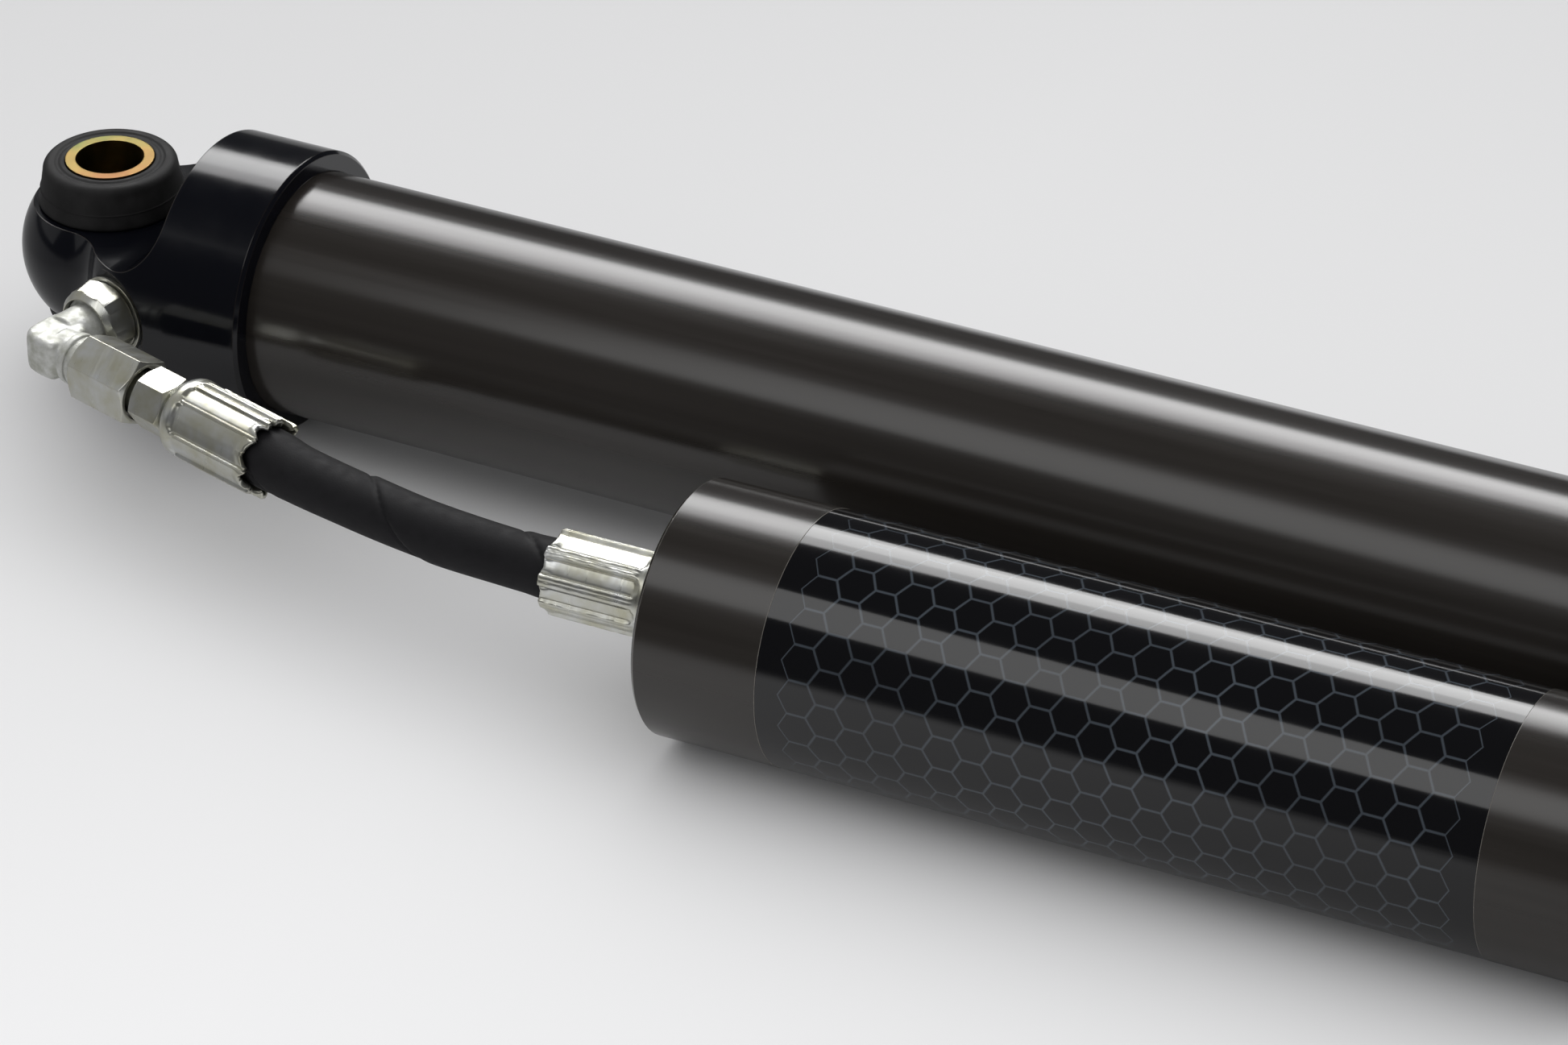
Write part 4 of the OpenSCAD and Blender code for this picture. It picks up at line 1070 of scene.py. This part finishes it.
hose_rings = [hose_ring(station, cover_radius) for station in range(hose_steps + 1)]
hose_rings += [hose_ring(station, lambda distance, angle: hose_bore)
               for station in range(hose_steps, -1, -bore_stride)]
finish_piece(sew(hose_rings), "hose_cover", Matrix.Identity(4), "hose_rubber", "body",
             "hydraulic_hose", crease=60)

# %% [markdown]
# ## The elbow's block
# The elbow's block is forged, not milled: fat, soft corners, a round heel,
# and faces that are never quite flat. A box with a bevel would look cast
# from plastic. Here a ball of points is pushed out to a rounded-box rule:
# the higher its power, the tighter the corners.

# %% Rounded block
block_front, block_back, block_half_height, heel_reach = 6.2, 4.8, 5.1, 6.2
block_power = 7


def forged_radius(direction):
    """How far the block's surface lies from its middle in this direction."""
    heel = max(0.0, (-direction.x - direction.y) / math.sqrt(2))
    along_outlet = block_front if direction.x > 0 else block_back
    shares = (abs(direction.x) / along_outlet, abs(direction.y) / block_front,
              abs(direction.z) / block_half_height, heel / heel_reach)
    return sum(share ** block_power for share in shares) ** (-1 / block_power)


block = bmesh.new()
bmesh.ops.create_icosphere(block, subdivisions=5, radius=1.0)
for vertex in block.verts:
    vertex.co = vertex.co.normalized() * forged_radius(vertex.co.normalized())
print("block:", len(block.verts), "points")

# %% [markdown]
# ## Melting the necks on
# The two necks are sewn onto the block, one with the cone that seals in the
# swivel nut, one with the port's thread. A voxel remesh then melts the three
# together, and a few rounds of smoothing turn the joints into small fillets.

# %% Necks and remesh
port_neck_radius, neck_radius, port_neck_end, outlet_neck_end = 6.0, 5.5, 11.4, 11.9
passage, neck_root, thread_radius, cone_radius = 2.5, 3.0, 7.05, 5.3

outlet_neck = [(neck_root, passage), (neck_root, neck_radius), (outlet_neck_end, neck_radius),
               (outlet_neck_end, cone_radius), (21.0, cone_radius), (23.6, 3.5), (23.6, passage)]
sew(turned_rings(outlet_neck, 64), block)
port_neck = bmesh.new()
port_stations = [(neck_root, passage), (neck_root, port_neck_radius),
                 (port_neck_end, port_neck_radius), (port_neck_end, thread_radius),
                 (28.0, thread_radius), (28.0, passage)]
sew(turned_rings(port_stations, 64), port_neck)
port_neck.transform(Matrix.Rotation(math.pi / 2, 4, "Z"))
port_mesh = bpy.data.meshes.new("port_neck")
port_neck.to_mesh(port_mesh)
port_neck.free()
block.from_mesh(port_mesh)

rough_mesh = bpy.data.meshes.new("rough_elbow")
block.to_mesh(rough_mesh)
block.free()
rough_elbow = bpy.data.objects.new("rough_elbow", rough_mesh)
bpy.context.scene.collection.objects.link(rough_elbow)
melt = rough_elbow.modifiers.new("melt", "REMESH")
melt.mode = "VOXEL"
melt.voxel_size = 0.3
bpy.context.view_layer.update()
melted = bpy.data.meshes.new_from_object(
    rough_elbow.evaluated_get(bpy.context.evaluated_depsgraph_get()))
bpy.data.objects.remove(rough_elbow)
print("melted elbow:", len(melted.vertices), "points")

# %% [markdown]
# ## Dents and the collar
# A little noise dents the forged skin, but not the machined ends of the
# necks. The collar behind the swivel nut is two turned rings with a groove
# between them. It is sewn on last, because the remesh would round it off.

# %% Forged elbow
machined_from = 9.0
collar_radius, collar_corner, collar_hole = neck_radius + 0.7, 0.4, 5.0

elbow_skin = bmesh.new()
elbow_skin.from_mesh(melted)
for smoothing_pass in range(4):
    bmesh.ops.smooth_vert(elbow_skin, verts=elbow_skin.verts, factor=0.5,
                          use_axis_x=True, use_axis_y=True, use_axis_z=True)
elbow_skin.normal_update()
for vertex in elbow_skin.verts:
    if max(vertex.co.x, vertex.co.y) < machined_from:
        dent = noise.noise(vertex.co * 0.4) * 0.1 + noise.noise(vertex.co * 1.3) * 0.035
        vertex.co += vertex.normal * dent

corner_radius = collar_radius - collar_corner
first_ring, second_ring = [
    rounded(start, corner_radius, collar_corner, 180, 90, 4)
    + rounded(end, corner_radius, collar_corner, 90, 0, 4)
    for start, end in ((7.7, 8.7), (10.2, 11.0))]
groove_floor = [(9.1, neck_radius + 0.1), (9.8, neck_radius + 0.1)]
collar = [(7.3, collar_hole)] + first_ring + groove_floor + second_ring + [(11.4, collar_hole)]
sew(turned_rings(collar, 96), elbow_skin)
finish_piece(elbow_skin, "forged_elbow", elbow_frame, "fitting_zinc", "body", "hose_elbow",
             crease=60, finish_name="forged_zinc")

# %% [markdown]
# ## Rubber bushes
# Each eye holds two moulded rubber halves with a flange that stands proud
# of the eye. A moulded flange has a soft rim, a shallow ring round the
# sleeve where the mould was vented, and a fine flash line where the mould
# parted. Two turned skins, one of them mirrored, make the pair.

# %% Profile of a bush
half_gap, eye_half, bush_face = 0.15, 12.0, 22.45
plug_radius, flange_radius, face_radius, sleeve_gap_radius = 13.45, 17.3, 15.8, 10.47
flash_line = [(15.8, 16.62), (15.95, 16.76), (16.1, 16.56)]
vent_ring = [(bush_face - sunk, radius) for sunk, radius in
             ((0, 13.1), (0.06, 12.9), (0.3, 12.65), (0.36, 12.3), (0.3, 11.95), (0.06, 11.7),
              (0, 11.5), (0, 10.9), (0.1, 10.65), (0.4, sleeve_gap_radius))]

bush_profile = [(half_gap, sleeve_gap_radius), (half_gap, plug_radius - 0.6),
                (half_gap + 0.6, plug_radius), (eye_half - 0.05, plug_radius),
                (eye_half + 0.02, plug_radius + 0.3), (eye_half + 0.02, flange_radius - 0.7)]
bush_profile += rounded(eye_half + 0.75, flange_radius - 0.75, 0.7, 180, 95, 5)
bush_profile += evenly((eye_half + 1.0, flange_radius - 0.06), flash_line[0], 3)
bush_profile += flash_line
bush_profile += evenly((16.6, 16.46), (bush_face - 2.0, face_radius), 3)
bush_profile += rounded(bush_face - 2.0, face_radius - 2.0, 2.0, 90, 4, 9)
bush_profile += vent_ring
print("bush profile:", len(bush_profile), "stations")

# %% [markdown]
# ## Bushes in both eyes
# The lower eye's middle comes from its own sleeve, so the bushes follow if
# the shock is made longer. Each pair rides on the body that holds its eye,
# and the steel sleeve twists inside it.

# %% Bushes
upright = Matrix.Rotation(-math.pi / 2, 4, "Y")
lower_low, lower_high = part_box("lower_sleeve")
eyes = (("upper", Vector((0, 0, 0)), "body"),
        ("lower", (lower_low + lower_high) / 2 / MM, "rod_assembly"))
for eye_name, eye_centre, body_name in eyes:
    pair = bmesh.new()
    for outward in (1, -1):
        rings = turned_rings(bush_profile, 128)
        sew([[Vector((point.x * outward, point.y, point.z)) for point in ring] for ring in rings],
            pair)
    finish_piece(pair, eye_name + "_rubber_bushes", Matrix.Translation(eye_centre) @ upright,
                 "bush_rubber", body_name, eye_name + "_bushes")

# %% [markdown]
# ## Bump stop
# The bump stop is a foamed buffer on the rod that softens the last of the
# stroke. It has a narrow nose and a deep waist, so that it gives way in
# steps, and its rings fold up under load.

# %% Bump stop
stop_low, stop_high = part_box("bump_stop")
stop_start, stop_end = stop_low.x / MM, stop_high.x / MM
stop_radius, stop_hole = stop_high.z / MM, 8.05
stop_nose = stop_radius * 0.68
waist = (stop_start + stop_end) / 2
profile = [(stop_start, stop_hole), (stop_start, stop_nose - 1.2)]
profile += rounded(stop_start + 1.2, stop_nose - 1.2, 1.2, 180, 95, 5)
profile += evenly((stop_start + 2.4, stop_nose + 1.0), (waist - 4.4, stop_radius - 2.4), 3)
profile += rounded(waist - 4.6, stop_radius - 3.2, 1.4, 110, 10, 6)
profile += rounded(waist, stop_radius - 2.4, 3.2, 200, 340, 9)
profile += rounded(waist + 5.2, stop_radius - 2.0, 2.0, 170, 90, 6)
profile += [(stop_end - 1.6, stop_radius)]
profile += rounded(stop_end - 1.2, stop_radius - 1.2, 1.2, 85, 0, 5)
profile += [(stop_end, stop_hole)]
finish_piece(sew(turned_rings(profile, 128)), "bump_stop_rings", Matrix.Identity(4),
             "bush_rubber", "rod_assembly", "bump_stop")

# %% [markdown]
# ## Rod wiper
# The wiper is the outermost seal, and keeps dirt off the rod. Its body sits
# in a groove of the seal head, and a thin lip leans outward to the rod. The
# lip is a short taper with a groove behind it, which lets it bend.

# %% Rod wiper
wiper_low, wiper_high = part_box("rod_wiper")
wiper_start, lip_end = wiper_low.x / MM, wiper_high.x / MM
seat_end, wiper_bore = lip_end - 2.8, 8.02
profile = [(wiper_start, wiper_bore), (wiper_start, 12.9), (seat_end - 0.2, 12.95),
           (seat_end, 12.75), (seat_end, 11.4), (seat_end - 0.4, 11.1), (seat_end - 0.4, 10.9),
           (seat_end, 10.7), (seat_end + 0.7, 10.1), (seat_end + 1.9, 9.25),
           (lip_end - 0.15, 9.1), (lip_end, 8.95), (lip_end, 8.4), (lip_end - 0.3, 8.1),
           (lip_end - 0.8, wiper_bore)]
finish_piece(sew(turned_rings(profile, 128)), "wiper_lip", Matrix.Identity(4),
             "seal_rubber", "body", "rod_wiper")

# %% [markdown]
# ## Ribbed dust cap
# The dust cap keeps the gas valve clean. It is moulded with ribs, so that
# fingers can turn it. The rule below cuts a shallow hollow between each two
# ribs, and lets them run out before the cap's rounded top.

# %% Ribbed dust cap
cap_start, cap_end, cap_radius, cap_bore = 412.0, 422.2, 4.8, 3.98
ribs, hollow_depth, nearly_closed = 24, 0.28, 0.001


def ribbed(x, radius, angle):
    """Cuts shallow hollows between the ribs along the cap's side."""
    if radius < cap_radius - 0.45:
        return x, radius
    depth = (hollow_depth * ease(x, cap_start + 1.2, cap_start + 1.9)
             * (1 - ease(x, cap_end - 2.2, cap_end - 1.4)))
    wave = 0.5 + 0.5 * math.cos(angle * ribs)
    return x, radius - depth * ease(wave, 0.3, 0.8)


profile = [(cap_start, cap_bore), (cap_start, cap_radius - 0.3)]
profile += evenly((cap_start + 0.3, cap_radius), (cap_end - 0.7, cap_radius), 18)
profile += rounded(cap_end - 0.7, cap_radius - 0.7, 0.7, 90, 0, 5)
profile += [(cap_end, 2.6), (cap_end - 0.25, 2.4), (cap_end - 0.25, nearly_closed),
            (cap_end - 1.6, nearly_closed), (cap_end - 1.6, cap_bore)]
finish_piece(sew(turned_rings(profile, 192, ribbed)), "ribbed_dust_cap", reservoir_frame,
             "valve_cap_plastic", "body", "valve_dust_cap")

# %% [markdown]
# ## Dress the solid pieces
# Each solid arrives with a plain material named after its slot in the
# record. The finish of the same slot takes its place.

# %% Give every solid its finish
dressed = 0
for piece in solids.values():
    for place_in_list in piece.material_slots:
        slot_name = place_in_list.material.name.split(".")[0]
        place_in_list.material = finishes[slot_name]
        dressed += 1
print("material slots dressed:", dressed)
